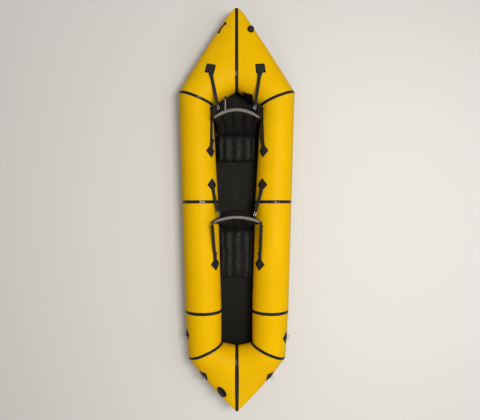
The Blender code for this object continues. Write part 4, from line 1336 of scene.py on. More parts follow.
bandSizes = {
    "wall": 0.0022, "lift": 0.0012, "gap": 0.0003, "steps": 90, "hem": 0.0035, "hemLift": 0.0026,
    "taperShare": 0.45, "taperStart": 0.55, "taperRun": 0.45, "crown": 0.0008, "edgeDrop": 0.0014,
    "endLift": 0.0024, "endWall": 0.0016,
}


def addBand(seat):
    b = bandSizes
    matrix = seat["matrix"]
    shares = [2 * i / b["steps"] - 1 for i in range(b["steps"] + 1)]
    lift = Vector((0, 0, b["gap"] + b["lift"]))
    spots = [backPoint(seat, share, seatSizes["backHeight"], 0) + lift for share in shares]
    rows, hems = [], ([], [])
    for off, spot, ahead in zip(shares, spots, headings(spots)):
        across = ahead.cross(Vector((0, 0, 1))).normalized()
        up = across.cross(ahead)
        wide = seat["band"] * (1 - b["taperShare"] * smooth((abs(off) - b["taperStart"]) / b["taperRun"]))
        row = []
        for share in (j / 4 - 1 for j in range(9)):
            row.append(spot + across * wide / 2 * share + up * (b["crown"] - b["edgeDrop"] * share**4))
        rows.append([matrix @ p for p in row])
        for way, hem in zip((-1, 1), hems):
            hem.append(matrix @ (spot + across * (wide / 2 - b["hem"]) * way + up * b["hemLift"]))
    title = f"{seat['name']}BackBand"
    piece = newPiece(title, gridMesh(title, rows, flip=True), bandCloth)
    thicken(piece, b["wall"])
    softEdge(piece, 0.0008)
    finishPiece(piece, seat["body"], f"{seat['name']}_back_band")
    stitchRuns[seat["body"]] += hems
    up = matrix.to_3x3() @ Vector((0, 0, b["endLift"]))
    for way, word in ((1, "Right"), (-1, "Left")):
        inward = rows if way < 0 else rows[::-1]
        lengths = runLengths([row[4] for row in inward])
        cut = [[p + up for p in row] for row, far in zip(inward, lengths) if far <= seat["tab"]]
        end = newPiece(f"{seat['name']}BandEnd{word}", gridMesh("bandEnd", cut, flip=way < 0), webbing)
        thicken(end, b["endWall"])
        softEdge(end, 0.0005)
        finishPiece(end, seat["body"])


for seat in seats.values():
    addBand(seat)
print("bands done")

# Anchor patches, buckles, straps and hooks

anchorShares = {
    "aft_rear_left": (0.55, 104, -32), "aft_rear_right": (0.51, 100, -42), "aft_front_left": (1.49, 38, 45),
    "aft_front_right": (1.49, 42, 45), "fore_rear_left": (1.83, 40, 45), "fore_rear_right": (1.83, 44, 45),
    "fore_front_left": (2.56, 38, 45), "fore_front_right": (2.56, 44, 45),
}


def upperHull(pairs):
    # The pairs that a taut line over all of them touches
    kept = []
    for pair in pairs:
        while len(kept) > 1:
            (xa, za), (xb, zb) = kept[-2:]
            if (xb - xa) * (pair[1] - za) - (zb - za) * (pair[0] - xa) < 0:
                break
            kept.pop()
        kept.append(pair)
    return kept


strapSizes = {
    "width": 0.0275, "wall": 0.0018, "endGap": 0.009, "spans": 48, "above": 0.61, "flattest": 0.3,
    # where the aft seat's front straps leave the tube, and how they go round behind the backrest
    "turnPlace": 1.06, "turnSlope": 26, "turnRadius": 0.020, "turnDegrees": 120,
    "tuck": (0.97, 0.003, -0.011), "tailWidth": 0.9, "tailWall": 0.0016, "tailLift": 0.0085,
    "rearTail": (0.004, 0.030, 0.007), "frontTail": (-0.016, 0.036, 0.009),
}
buckleSizes = {
    "reach": 0.046, "length": 0.038, "width": 0.037, "height": 0.009, "side": 0.0045, "sideTop": 0.72,
    "bottom": 0.0008, "inset": 0.001, "barHeight": 0.45, "lipInset": 0.006, "lipTurn": 0.55, "pad": 0.052,
    "padWall": 0.0013, "loop": 0.025, "loopWall": 0.0016, "seam": (-0.010, 0.010, -0.018, 0.002),
    "seamLift": 0.0042,
    # each bar's place, depth and top, the last as a share of the height
    "bars": ((-0.019, 0.0045, 0.62), (-0.003, 0.0055, 0.95), (0.0085, 0.0035, 0.60), (0.0142, 0.0048, 0.72)),
    # the webbing that holds the buckle: distance along the strap and height
    "loopPath": (
        (-0.020, 0.0030), (-0.004, 0.0031), (0.021, 0.0034), (0.029, 0.0062), (0.032, 0.0040),
        (0.029, 0.0014), (0.019, 0.0012), (-0.004, 0.0009),
    ),
}
hookSizes = {
    "wire": 0.0019, "half": 0.0095, "long": 0.044, "neck": -0.004, "foot": 0.0065, "latchWire": 0.0013,
    "latch": ((0.1, -0.006, 0.0032), (0.35, -0.020, 0.0046), (0.55, -0.034, 0.003)), "barWire": 0.0014,
    "barY": -0.0075, "tab": 0.015, "tabWall": 0.0018,
    # the webbing loop that holds it: past the strap's end, over the bend, and in behind the backrest
    "tabFrom": 0.036, "tabLift": 0.004, "tabOver": 0.045, "tabInto": (0, -0.012, -0.030),
}


def tautPoints(start, end):
    # Straight in plan, pulled tight over the hull
    s = strapSizes
    pairs = [(0, start.z)]
    for i in range(1, s["spans"]):
        spot = lerp(start, end, i / s["spans"])
        hit, facing = hullTree.ray_cast(Vector((spot.x, spot.y, s["above"])), Vector((0, 0, -1)))[:2]
        if hit and abs(facing.z) > s["flattest"]:
            pairs.append((i / s["spans"], hit.z + fittingSizes["strapLift"] / abs(facing.z)))
    pairs.append((1, end.z))
    return [Vector((*lerp(start, end, t).xy, z)) for t, z in upperHull(pairs)]


def strapEnd(side, seat, rear):
    shareX, shareUp = seat["rearStrap" if rear else "frontStrap"]
    height = shareUp * seatSizes["backHeight"]
    depth = rearDepth(shareX, height) + strapSizes["endGap"]
    if seat["name"] == "fore" and not rear:
        depth = frontDepth(seat, shareX, height) - strapSizes["endGap"]
    end = backPoint(seat, shareX, height, depth)
    end.x *= side
    return seat["matrix"] @ end


def headingFrame(share, side, target):
    lift = patchLift(share[0]) + fittingSizes["patchWall"] - fittingSizes["sink"]
    base = hullFrame(share[0], math.radians(share[1]), side, lift)
    normal = base.to_3x3() @ Vector((0, 0, 1))
    return faceMatrix(base.translation, normal, target - base.translation)


def turnPoints(side, seat, start):
    # Up the tube, then round and in behind the backrest
    s = strapSizes
    spot = (s["turnPlace"], math.radians(s["turnSlope"]))
    leave = hullPoint(*spot) + hullNormal(*spot) * fittingSizes["strapLift"]
    end = strapEnd(side, seat, False)
    centre = Vector((leave.x - s["turnRadius"], leave.y, leave.z))
    arc = []
    for i in range(9):
        turn = math.radians(s["turnDegrees"]) * i / 8
        spot = centre + Vector((math.cos(turn), math.sin(turn), 0)) * s["turnRadius"]
        spot.z = lerp(leave.z, end.z, turn / math.pi)
        arc.append(spot)
    arc = flipped(arc, side)
    return [*tautPoints(start, arc[0]), *arc[1:], end]


def buckleMesh():
    # Ladder-lock buckle on the XY plane, the strap running along Y
    b = buckleSizes
    half, reach, span, tall = b["width"] / 2, b["reach"], b["length"] / 2, b["height"]
    boxes = []
    for left in (-half, half - b["side"]):
        high = (left + b["side"], reach + span, tall * b["sideTop"])
        boxes.append(roundedBox((left, reach - span, b["bottom"]), high))
    for y, deep, top in b["bars"]:
        low = (b["inset"] - half, reach + y, tall * (top - b["barHeight"]))
        boxes.append(roundedBox(low, (half - b["inset"], reach + y + deep, tall * top)))
    wide = half - b["lipInset"]
    lip = roundedBox((-wide, -0.003, 0), (wide, 0.007, 0.0022), 0.0008)
    raised = Matrix.Translation((0, reach + span - 0.001, tall * 0.58))
    lip.transform(raised @ Matrix.Rotation(b["lipTurn"], 4, "X"))
    return joinMeshes("buckle", [*boxes, lip])


def hookMesh():
    # Bent wire hook, its bar at the origin and its bend towards -Y
    h = hookSizes
    half = h["half"]
    turns = [math.pi * i / 8 for i in range(9)]
    bend = [Vector((half * math.cos(t), -h["long"] + half - half * math.sin(t), 0)) for t in turns]
    neck = [Vector((half * way, h["neck"], 0)) for way in (1, -1)]
    foot = [Vector((h["foot"] * way, 0, 0)) for way in (-1, 1)]
    loop = evenRun([neck[0], *bend, neck[1], *foot, neck[0]], 0.0018, 2)[:-1]
    latch = evenRun([Vector((half * x, y, z)) for x, y, z in h["latch"]], 0.002)
    bar = evenRun([Vector((half * way, h["barY"], 0)) for way in (-1, 1)], 0.003)
    meshes = [loopMesh("loop", loop, h["wire"]), wireMesh("latch", latch, h["latchWire"])]
    return joinMeshes("hook", [*meshes, wireMesh("bar", bar, h["barWire"])])


def addHook(name, seat, start, end):
    # The hook's bar at the strap's end, its bend towards the backrest, and the webbing loop that it holds
    h = hookSizes
    yAxis = (start - end).normalized()
    upright = (hullTree.find_nearest(end)[1] + Vector((0, 0, 0.5))).normalized()
    xAxis = yAxis.cross(upright).normalized()
    zAxis = xAxis.cross(yAxis)
    piece = newPiece(name, placed(hookMesh(), axesMatrix(start, xAxis, yAxis, zAxis)), steel)
    finishPiece(piece, seat["body"])
    far = seat["matrix"].inverted() @ end
    into = seat["matrix"] @ (far + Vector(h["tabInto"]))
    foot = start - yAxis * h["tabFrom"] + zAxis * h["tabLift"]
    loop = evenRun([foot, start - yAxis * h["tabOver"], into], 0.003, 2)
    addRibbon(f"{name}Tab", loop, [zAxis] * len(loop), h["tab"], h["tabWall"], seat["body"])


def addBuckle(title, heading):
    # The buckle and the webbing loop that holds it on its patch
    b = buckleSizes
    buckle = newPiece(f"{title}Buckle", placed(buckleMesh(), heading), moulded)
    finishPiece(buckle, "hull")
    run = evenRun([heading @ Vector((0, y, z)) for y, z in b["loopPath"]], 0.003, 2)
    facings = bandFacings(run, heading.to_3x3() @ Vector((1, 0, 0)))
    addRibbon(f"{title}Loop", run, facings, b["loop"], b["loopWall"])
    box = boxPath(*b["seam"], True)
    stitchRuns["hull"].append([heading @ Vector((x, y, b["seamLift"])) for x, y in box])


def addTail(title, heading, side, rear):
    # The strap's loose end, out of the buckle and down on the tube
    b, s = buckleSizes, strapSizes
    past = b["reach"] + b["length"] / 2
    x, y, z = s["rearTail" if rear else "frontTail"]
    tail = [
        (0, b["reach"] - 0.008, b["height"] * 0.55), (0, b["reach"] + 0.002, b["height"] * 1.05),
        (0.001, past, b["height"]), (x * side, past + y, z),
    ]
    tail = evenRun([heading @ Vector(p) for p in tail], 0.004, 3)
    tail = [laidPoint(p, max((p - laidPoint(p, 0)).length, s["tailLift"])) for p in tail]
    addRibbon(f"{title}Tail", tail, hullFacings(tail), s["width"] * s["tailWidth"], s["tailWall"])


def addAnchor(key, share):
    title = camel(key)
    seat = seats[key.split("_")[0]]
    rear = "_rear_" in key
    side = 1 if key.endswith("right") else -1
    b, s = buckleSizes, strapSizes
    layDoublePatch(title, share, side, b["pad"], b["padWall"], f"{key}_anchor")
    turns = seat["name"] == "aft" and not rear
    end = strapEnd(side, seat, rear)
    leave = hullPoint(s["turnPlace"], math.radians(s["turnSlope"]))
    heading = headingFrame(share, side, flipped([leave], side)[0] if turns else end)
    addBuckle(title, heading)
    start = heading @ Vector((0, b["reach"] + b["length"] / 2 + 0.001, b["height"] / 2))
    points = turnPoints(side, seat, start) if turns else tautPoints(start, end)
    inBuckle = ((0, b["reach"] - 0.003, b["height"] * 0.35), (0, b["reach"] + 0.004, b["height"] * 0.80))
    if seat["name"] == "fore" and not rear:  # tucked in over the backrest's top edge
        across, up, depth = s["tuck"]
        corner = backPoint(seat, across, seatSizes["backHeight"] + up, depth)
        points.append(seat["matrix"] @ Vector((corner.x * side, corner.y, corner.z)))
    points = evenRun([heading @ Vector(p) for p in inBuckle] + points, fittingSizes["strapStep"], 5)
    hookEnd = points[-1]
    if rear:
        points = points[:-round(seat["hookGap"] / fittingSizes["strapStep"])]
    strap = addRibbon(f"{title}Strap", points, hullFacings(points), s["width"], s["wall"], None)
    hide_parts(f"{key}_strap")
    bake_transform(strap)
    if rear:
        addHook(f"{title}Hook", seat, points[-1], hookEnd)
    addTail(title, heading, side, rear)


for key, share in anchorShares.items():
    addAnchor(key, share)
print("anchors and straps done")

# Rings and their patches

ringSizes = {
    "wire": 0.0045, "inside": 0.030, "reach": 0.030, "corner": 0.004, "play": 0.0006, "sleeve": 0.0015,
    "sleeveLength": 0.020, "rest": 35, "tabEnd": 0.0185, "tabFoot": 0.0105, "tabLift": 0.0019,
    "tabWall": 0.0015, "pad": 0.058, "padWall": 0.0012, "seamLift": 0.0012,
}
ringShares = {
    "fore_ring_left": (3.48, 162, 45), "fore_ring_right": (3.54, 155, 45), "bow_ring_left": (4.32, 152, 45),
    "bow_ring_right": (4.33, 156, 45),
}


def ringPath(side):
    # A D: straight leg on the axis, rounded corners and a round bow
    half, reach = (ringSizes["inside"] + ringSizes["wire"]) / 2, ringSizes["reach"]
    turns = [math.pi * i / 40 for i in range(41)]
    bow = [Vector((side * reach * math.sin(t) ** 0.9, half * math.cos(t), 0)) for t in turns]
    end = half - ringSizes["corner"]
    leg = [Vector((0, y, 0)) for y in (-end, -half / 2, 0, half / 2, end)]
    return evenRun([*bow, *leg, bow[0]], 0.0016, 3)[:-1]


def addRing(key, share):
    title = camel(key)
    side = 1 if key.endswith("right") else -1
    r = ringSizes
    layDoublePatch(title, share, side, r["pad"], r["padWall"], f"{key}_patch")
    radius = r["wire"] / 2 + r["play"] + r["sleeve"]
    lift = patchLift(share[0]) + fittingSizes["patchWall"]
    axis = fittingFrame((share[0], share[1], 0), side, lift + radius - fittingSizes["sink"])
    # The webbing tab goes over the straight leg and down flat on both sides of it
    down = -radius + fittingSizes["sink"] + r["tabLift"]
    foot = [(r["tabEnd"], down), (r["tabFoot"], down), (radius + 0.001, -radius * 0.3)]
    over = [(radius * math.cos(math.pi * i / 8), radius * math.sin(math.pi * i / 8)) for i in range(1, 8)]
    path = [*foot, *over, *[(-x, z) for x, z in foot[::-1]]]
    run = evenRun([axis @ Vector((x, 0, z)) for x, z in path], 0.0022, 2)
    facings = [-f for f in bandFacings(run, axis.to_3x3() @ Vector((0, 1, 0)))]
    addRibbon(f"{title}Tab", run, facings, r["sleeveLength"], r["tabWall"])
    half = r["sleeveLength"] / 2 - 0.0028
    box = boxPath(r["tabFoot"] + 0.0005, r["tabEnd"] - 0.0016, -half, half)
    for way in (-1, 1):
        stitchRuns["hull"].append([axis @ Vector((x * way, y, down + r["seamLift"])) for x, y in box])
    turned = axis @ Matrix.Rotation(-side * math.radians(r["rest"]), 4, "Y")
    ring = newPiece(title, placed(loopMesh(title, ringPath(side), r["wire"] / 2), turned), steel)
    finishPiece(ring, f"{key}_body", key)


for key, share in ringShares.items():
    addRing(key, share)
print("rings done:", len(ringShares))

# Inflation valve and its cap

valveSizes = {
    "place": (0.20, 152, 0), "base": 0.060, "wall": 0.0025, "neck": 0.021, "neckHeight": 0.014, "bore": 0.013,
    "boreDepth": 0.009, "stem": 0.0035, "stemRise": 0.0015, "edge": 0.001, "cap": 0.026, "skirt": 0.008,
    "crown": 0.004, "play": 0.0006, "underCrown": 0.0003, "dish": 0.004, "bar": 0.008, "barHeight": 0.005,
    "ribs": 36, "rib": (0.0016, 0.0022, 0.0085), "ribDrop": 0.0022, "threads": 4, "threadPitch": 0.0011,
    "threadDepth": 0.0009, "leash": ((-0.0215, 0.0046), (-0.026, 0.0048), (-0.0295, 0.0040)),
    "leashWidth": 0.006, "leashWall": 0.0012,
}


def neckProfile(v):
    top, bore, neck, edge = v["neckHeight"], v["bore"], v["neck"], v["edge"]
    floor, rim = top - v["boreDepth"], v["base"] / 2
    profile = [
        (v["stem"], floor + v["stemRise"]), (v["stem"], floor), (bore - edge, floor), (bore, floor + edge),
        (bore, top - edge), (bore + edge, top), (neck - 0.0012, top), (neck - 0.0004, top - 0.0008),
    ]
    for i in range(v["threads"] * 2):
        profile.append((neck - (v["threadDepth"] if i % 2 else 0.0), top - 0.0016 - i * v["threadPitch"]))
    profile += [(neck - 0.0006, 0.0040), (neck + 0.0015, 0.0032)]
    return [*profile, (rim - 0.003, 0.0028), (rim - 0.0015, 0.0018)]


def capProfile(v, crown, outer):
    inside, high, dish, skirt = v["neck"] + v["play"], v["underCrown"], v["dish"], v["skirt"]
    return [
        (dish, crown - 0.0003), (v["cap"] - 0.006, crown - 0.0003), (v["cap"] - 0.005, crown),
        (outer - 0.002, crown), (outer - 0.0006, crown - 0.0006), (outer, crown - 0.002),
        (outer, -skirt + 0.0008), (outer - 0.0008, -skirt), (inside, -skirt), (inside, high), (dish, high),
    ]


def addValve():
    v = valveSizes
    flange = ovalOutline(v["base"], v["base"])
    bottom = fittingFrame(v["place"], 1)
    layPatch("valveFlange", bottom, flange, fittingSizes["lift"], v["wall"] * 0.6, taped, "valve_base", hem=0)
    seat = fittingFrame(v["place"], 1, fittingSizes["lift"])
    neck = newPiece("valveNeck", placed(turnedMesh("neck", neckProfile(v)), seat), moulded)
    finishPiece(neck, "hull")
    crown, outer = v["underCrown"] + v["crown"], v["cap"] - 0.0008
    shell = newPiece("valveCap", turnedMesh("cap", capProfile(v, crown, outer)), moulded)
    runTree(shell, ribRing, {"Count": v["ribs"], "Radius": outer, "Rib": v["rib"], "Surface": moulded})
    ribs = shell.data
    for vert in ribs.vertices[-v["ribs"] * 8:]:  # the ribs' corners, eight each
        vert.co.z -= v["ribDrop"]
    half = v["cap"] - 0.003
    low, high = (-half, -v["bar"] / 2, crown - 0.0005), (half, v["bar"] / 2, crown + v["barHeight"])
    shell.data = joinMeshes("valveCap", [ribs, roundedBox(low, high, 0.0014)])
    shell.data.materials.clear()
    shell.data.materials.append(moulded)
    placed(shell.data, seat @ Matrix.Translation((0, 0, v["neckHeight"])))
    finishPiece(shell, "cap", "valve_cap")
    # A flat leash between the neck and the flange's edge
    leash = evenRun([seat @ Vector((x, 0.0, z)) for x, z in v["leash"]], 0.002, 1)
    upright = [seat.to_3x3() @ Vector((0, 0, 1))] * len(leash)
    strip = addRibbon("valveLeash", leash, upright, v["leashWidth"], v["leashWall"], None)
    strip.data.materials[0] = moulded
    finishPiece(strip, "hull")


addValve()

# Bow grab handle: oval patch, webbing loop and a padded grip round it

handleSizes = {
    "place": (4.70, 142, 14), "long": 0.105, "wide": 0.058, "hem": 0.90, "loop": 0.092, "rise": 0.026,
    "strap": 0.024, "strapWall": 0.0018, "wall": 0.0025, "grip": 0.0085, "gripShare": 0.55, "gripLap": 0.0022,
    "gripAround": 28, "gripPower": 0.8, "endEase": 0.55, "seamHalf": 0.010, "seamLift": 0.0052,
}


def addHandle():
    h = handleSizes
    patch, lift = fittingFrame(h["place"], -1), patchLift(h["place"][0])
    oval = ovalOutline(h["wide"], h["long"])
    layPatch("bowHandlePatch", patch, oval, lift, h["wall"] * 0.6, taped, "bow_grab_handle", hem=h["hem"])
    base = fittingFrame(h["place"], -1, lift + h["wall"] / 2)
    half = h["loop"] / 2
    turns = [math.pi * i / 30 for i in range(31)]
    path = [(-half * math.cos(t), 0.001 + h["rise"] * math.sin(t) ** 0.8) for t in turns]
    path = [(0.020 - half, 0.002), *path, (half - 0.020, 0.002)]
    run = evenRun([base @ Vector((0, y, z)) for y, z in path], 0.003, 2)
    side = base.to_3x3() @ Vector((1, 0, 0))
    facings = [side.cross(ahead).normalized() for ahead in headings(run)]
    addRibbon("bowHandleLoop", run, facings, h["strap"], h["strapWall"])
    middle = [p for p in run if (base.inverted() @ p).z > h["rise"] * h["gripShare"]]
    ups = [side.cross(ahead).normalized() for ahead in headings(middle)]
    rings = []
    for i, (point, up) in enumerate(zip(middle, ups)):
        t = min(max(i / (len(middle) - 1), 0.02), 0.98)
        ease = min(1, h["endEase"] + (1 - h["endEase"]) * math.sin(math.pi * t) ** 0.4)
        ring = []
        for j in range(h["gripAround"]):
            turn = math.tau * j / h["gripAround"]
            across = side * power(math.cos(turn), h["gripPower"]) * (h["strap"] / 2 + h["gripLap"])
            over = up * power(math.sin(turn), h["gripPower"]) * h["grip"] / 2
            ring.append(point + (across + over) * ease)
        rings.append(ring)
    grip = newPiece("bowHandleGrip", loftMesh("grip", rings), patchCloth)
    finishPiece(grip, "hull")
    under = -(h["grip"] / 2 + 0.0002)
    stitchRuns["hull"].append([point + up * under for point, up in list(zip(middle, ups))[2:-2]])
    for way in (-1, 1):
        y = way * (half - 0.006)
        places = (-h["seamHalf"], 0, h["seamHalf"])
        row = [laidPoint(base @ Vector((x, y, 0)), h["seamLift"]) for x in places]
        stitchRuns["hull"].append(row)


addHandle()
print("valve and bow handle done")

# Stern grab strap and flap

sternSizes = {
    "strapPlace": (0.205, 158, 0), "strapLong": 0.110, "strapWide": 0.014, "strapWall": 0.0022, "bow": 0.005,
    "padWide": 0.024, "padLong": 0.026, "padCorner": 0.004, "padIn": 0.011, "padLift": 0.0008,
    "padWall": 0.0010, "seam": (-0.004, 0.004, -0.007, 0.007), "seamLift": 0.0036, "flatFrom": 0.72,
    "flapPlace": (0.45, 14, 18), "flapWide": 0.082, "flapHigh": 0.097, "flapWall": 0.0012,
    "flapLift": 0.0014, "curl": 0.007, "hem": 0.44, "hemLift": 0.0032,
}


def addGrabStrap():
    s = sternSizes
    patch = fittingFrame(s["strapPlace"], -1)
    run = []
    for i in range(41):
        y = s["strapLong"] * (i / 40 - 0.5)
        share = 2 * abs(y) / s["strapLong"]
        lift = s["strapWall"] + s["bow"] * smooth((s["flatFrom"] - share) / 0.5)
        run.append(laidPoint(patch @ Vector((0, y, 0)), lift))
    facings = [hullTree.find_nearest(p)[1] for p in run]
    addRibbon("sternGrabStrap", run, facings, s["strapWide"], s["strapWall"], "hull", "stern_grab_strap")
    outline = roundedOutline(s["padWide"], s["padLong"], s["padCorner"])
    for way, word in ((-1, "Fore"), (1, "Aft")):
        end = patch @ Matrix.Translation((0, way * (s["strapLong"] / 2 - s["padIn"]), 0))
        layPatch(f"sternStrapPad{word}", end, outline, s["padLift"], s["padWall"], taped, hem=0)
        box = boxPath(*s["seam"], True)
        stitchRuns["hull"].append([laidPoint(end @ Vector((x, y, 0)), s["seamLift"]) for x, y in box])


def addFlap():
    s = sternSizes
    patch = fittingFrame(s["flapPlace"], 1)
    width, height = s["flapWide"], s["flapHigh"]
    rows = []
    for v in (i / 12 - 1 for i in range(25)):
        row = []
        for u in (j / 12 - 1 for j in range(25)):
            loose = max(u, 0)
            wave = 0.0012 * math.sin(v * 5 + u * 2) + 0.0010 * noise.noise(Vector((u * 2, v * 2, 4.0)))
            lift = s["flapLift"] + s["curl"] * loose**2.2 * (0.6 + 0.4 * v)
            lift = max(lift + max(wave, -0.0004) * (0.3 + loose), s["flapWall"])
            row.append(laidPoint(patch @ Vector((u * width / 2, v * height / 2, 0)), lift))
        rows.append(row)
    flap = newPiece("sternFlap", gridMesh("sternFlap", rows, flip=True), seatCloth)
    thicken(flap, s["flapWall"])
    finishPiece(flap, "hull", "stern_flap")
    x, y = -width * s["hem"], height * s["hem"]
    seam = [patch @ lerp(Vector((x, -y, 0)), Vector((x, y, 0)), i / 20) for i in range(21)]
    stitchRuns["hull"].append([laidPoint(point, s["hemLift"]) for point in seam])


addGrabStrap()
addFlap()
print("stern strap and flap done")

# Oral tubes and their mouthpieces

oralSizes = {
    "radius": 0.0045, "gap": 0.0009, "straight": 0.014, "turn": 80, "mouth": 0.0075, "mouthLength": 0.024,
    "bore": 0.0022, "boreDepth": 0.003, "lap": 0.010, "tip": 0.0045, "play": 0.0006, "lugReach": 0.005,
    "lugWidth": 0.003, "lugHigh": 0.0114, "grips": 5, "collar": 0.0022,
}


def mouthProfile(o):
    long, mouth, tip = o["mouthLength"], o["mouth"], o["tip"]
    profile = [
        (o["bore"], long - o["boreDepth"]), (o["bore"], long), (tip - 0.0006, long), (tip, long - 0.0008),
        (tip + 0.0006, long * 0.8), (mouth - 0.001, long * 0.58),
    ]
    for i in range(o["grips"]):
        high = long * (0.52 - 0.09 * i)
        profile += [(mouth, high), (mouth - 0.0005, high - 0.0009)]
    inside = o["radius"] + o["play"]
    return profile + [(mouth, 0.0008), (mouth - 0.0006, 0), (inside, 0), (inside, o["lap"])]


def addOralTube(seat):
    o = oralSizes
    name, body, matrix = seat["name"], seat["body"], seat["matrix"]
    share = seat["oralSide"] / seat["halfWidth"]
    depth = rearDepth(share, seat["oralUp"]) - backWing(seat, share, seat["oralUp"]) + o["gap"]
    start = Vector((-seat["oralSide"], depth, seat["oralUp"]))
    turns = [math.radians(o["turn"]) * i / 24 for i in range(25)]
    points = [start + Vector((0, math.sin(t), 1 - math.cos(t))) * seat["bend"] for t in turns]
    away = (points[-1] - points[-2]).normalized()
    points.append(points[-1] + away * o["straight"])
    tube = placed(wireMesh("tube", points, o["radius"], sides=20), matrix)
    finishPiece(newPiece(f"{name}OralTube", tube, clearTube), body, f"{name}_oral_tube")
    low = (o["mouth"] - 0.001, -o["lugWidth"] / 2, 0.0006)
    lug = roundedBox(low, (o["mouth"] + o["lugReach"], o["lugWidth"] / 2, o["lugHigh"]), 0.0008)
    mouth = joinMeshes("mouth", [turnedMesh("mouth", mouthProfile(o), 48), lug])
    xAxis = Vector((1, 0, 0))
    at = matrix @ axesMatrix(points[-1] - away * o["lap"], xAxis, away.cross(xAxis), away)
    piece = newPiece(f"{name}Mouthpiece", placed(mouth, at), moulded)
    finishPiece(piece, f"{name}_mouth", f"{name}_mouthpiece")
    foot = [start + Vector((0, 0.003 * i - 0.0105, 0.0)) for i in range(3)]
    foot = placed(wireMesh("foot", foot, o["radius"] + o["collar"], sides=20), matrix)
    finishPiece(newPiece(f"{name}TubeFoot", foot, moulded), body)


for seat in seats.values():
    addOralTube(seat)

# Small tabs on the fore seat's pad, and the loose end of the aft seat's right front strap

tabSizes = {
    "wide": 0.022, "y": -0.298, "slant": -0.004, "inner": 0.030, "outer": 0.001, "height": 0.062,
    "wall": 0.0018, "bulge": 0.006, "rise": 0.010, "looseWide": 0.014, "looseWall": 0.0016,
    "looseLift": 0.0030, "looseWave": 0.0015,
}


def addPadTabs():
    t = tabSizes
    edge = clearHalfWidth(t["y"], seatSizes["padThick"], seatSizes["sideGap"])
    for side, word in ((1, "Right"), (-1, "Left")):
        inner = Vector((side * (edge - t["inner"]), t["y"], seatSizes["padThick"] - 0.002))
        outer = Vector((side * (edge - t["outer"]), t["y"] + t["slant"], t["height"]))
        middle = (inner + outer) / 2 + Vector((side * t["bulge"], 0, t["rise"]))
        run = evenRun([inner, middle, outer], 0.004, 3)
        facings = [Vector((side * 0.5, 0, 1)).normalized()] * len(run)
        addRibbon(f"padTab{word}", run, facings, t["wide"], t["wall"])


looseShares = ((1.415, 33), (1.36, 25), (1.28, 17), (1.20, 13), (1.145, 15))


def addLooseEnd():
    run = evenRun([hullPoint(place, math.radians(angle)) for place, angle in looseShares], 0.006, 4)
    t = tabSizes
    run = [laidPoint(p, t["looseLift"] + t["looseWave"] * math.sin(i * 0.55)) for i, p in enumerate(run)]
    addRibbon("aftFrontRightLooseEnd", run, hullFacings(run, 0.2), t["looseWide"], t["looseWall"])


addPadTabs()
addLooseEnd()
print("oral tubes, tabs and loose end done")

# Stitches, one mesh for each body

ballFaces = stitchBall["Segments"] * stitchBall["Rings"]
for body, runs in stitchRuns.items():
    points, edges = [], []
    for run in runs:
        edges += [(len(points) + i, len(points) + i + 1) for i in range(len(run) - 1)]
        points += run
    lines = bpy.data.meshes.new("stitchLines")
    lines.from_pydata([tuple(p) for p in points], edges, [])
    sewn = newPiece(camel(f"{body}_stitches"), lines)
    runTree(sewn, stitches, {**stitchSizes, "Surface": thread})
    sewn.data.shade_smooth()
    finishPiece(sewn, body)
    print("stitches on", body, len(sewn.data.polygons) // ballFaces)

# Camera, light and floor

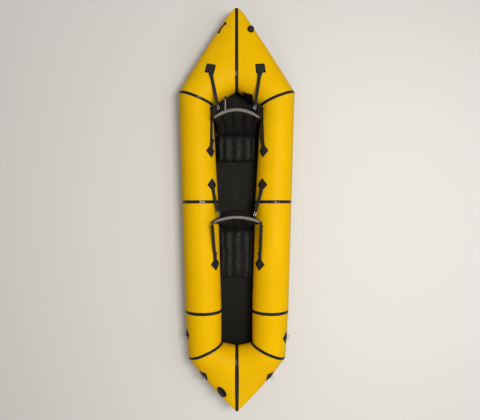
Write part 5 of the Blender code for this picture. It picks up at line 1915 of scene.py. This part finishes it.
view = {
    "height": 3.95, "x": 0.002, "y": 0.03, "roll": -0.05, "focalPx": 447, "frameWidthPx": 480,
    "axisLeftPx": 3, "axisUpPx": 5, "sensor": 36.0,
}
studio = {
    "sun": (1, 0.975, 0.90), "sky": (0.98, 0.92, 0.84, 1), "skyStrength": 0.32, "floorHalf": 9,
    "floorZ": -0.0006, "floorLight": (0.78, 0.78, 0.785), "floorDark": (0.74, 0.745, 0.75),
    "floorBounce": (0.26, 0.25, 0.23), "floorRough": 0.75, "middle": (0, 0, 0.2),
}
camera = bpy.data.objects.new("camera", bpy.data.cameras.new("camera"))
scene.collection.objects.link(camera)
camera.location = (view["x"], view["y"], view["height"])
camera.rotation_euler = (0, 0, math.radians(view["roll"]))
camera.data.sensor_width = view["sensor"]
camera.data.lens = view["focalPx"] / view["frameWidthPx"] * view["sensor"]
camera.data.shift_x = view["axisLeftPx"] / view["frameWidthPx"]
camera.data.shift_y = -view["axisUpPx"] / view["frameWidthPx"]
scene.camera = camera
scene.view_settings.view_transform = "Standard"


def addLight(name, spot, target, size, power, colour=(1, 1, 1)):
    lamp = bpy.data.lights.new(name, "AREA")
    lamp.shape = "RECTANGLE"
    lamp.size, lamp.size_y = size
    lamp.energy = power
    lamp.color = colour
    light = bpy.data.objects.new(name, lamp)
    scene.collection.objects.link(light)
    light.location = spot
    light.rotation_euler = (Vector(target) - Vector(spot)).to_track_quat("-Z", "Y").to_euler()


addLight("keyLight", (1.45, 0.4, 5.2), (0, 0, 0), (1.0, 1.7), 162, studio["sun"])
addLight("sideLight", (4.2, -1.5, 3.0), studio["middle"], (2.0, 3.0), 24)
addLight("frontLight", (0.6, -4.4, 3.0), studio["middle"], (2.4, 1.6), 34, studio["sun"])
addLight("backLight", (-3.2, 4.6, 2.6), studio["middle"], (3.0, 2.0), 22)
addLight("sparkLight", (2.5, 0.2, 4.0), studio["middle"], (0.16, 0.16), 12)
world = bpy.data.worlds.new("studio")
scene.world = world
world.use_nodes = True
backdrop = world.node_tree.nodes["Background"]
feed(world.node_tree, backdrop, {"Color": studio["sky"], "Strength": studio["skyStrength"]})

# The floor throws a darker and warmer colour back at the boat than the one that it shows
paint, tree, shader = newSurface("groundPaint")
clouds = put(tree, "ShaderNodeTexNoise", {"Scale": 3.0, "Detail": 3.0}).outputs["Fac"]
tint = mixed(tree, clouds, studio["floorDark"], studio["floorLight"])
ray = put(tree, "ShaderNodeLightPath").outputs
shown = sums(tree, "MAXIMUM", ray["Is Camera Ray"], ray["Is Glossy Ray"])
shown = sums(tree, "MAXIMUM", shown, ray["Is Transmission Ray"])
seen = mixed(tree, shown, studio["floorBounce"], tint)
feed(tree, shader, {"Base Color": seen, "Roughness": studio["floorRough"]})
ends = (-studio["floorHalf"], studio["floorHalf"])
rows = [[Vector((x, y, studio["floorZ"])) for x in ends] for y in ends]
newPiece("ground", gridMesh("ground", rows), paint)
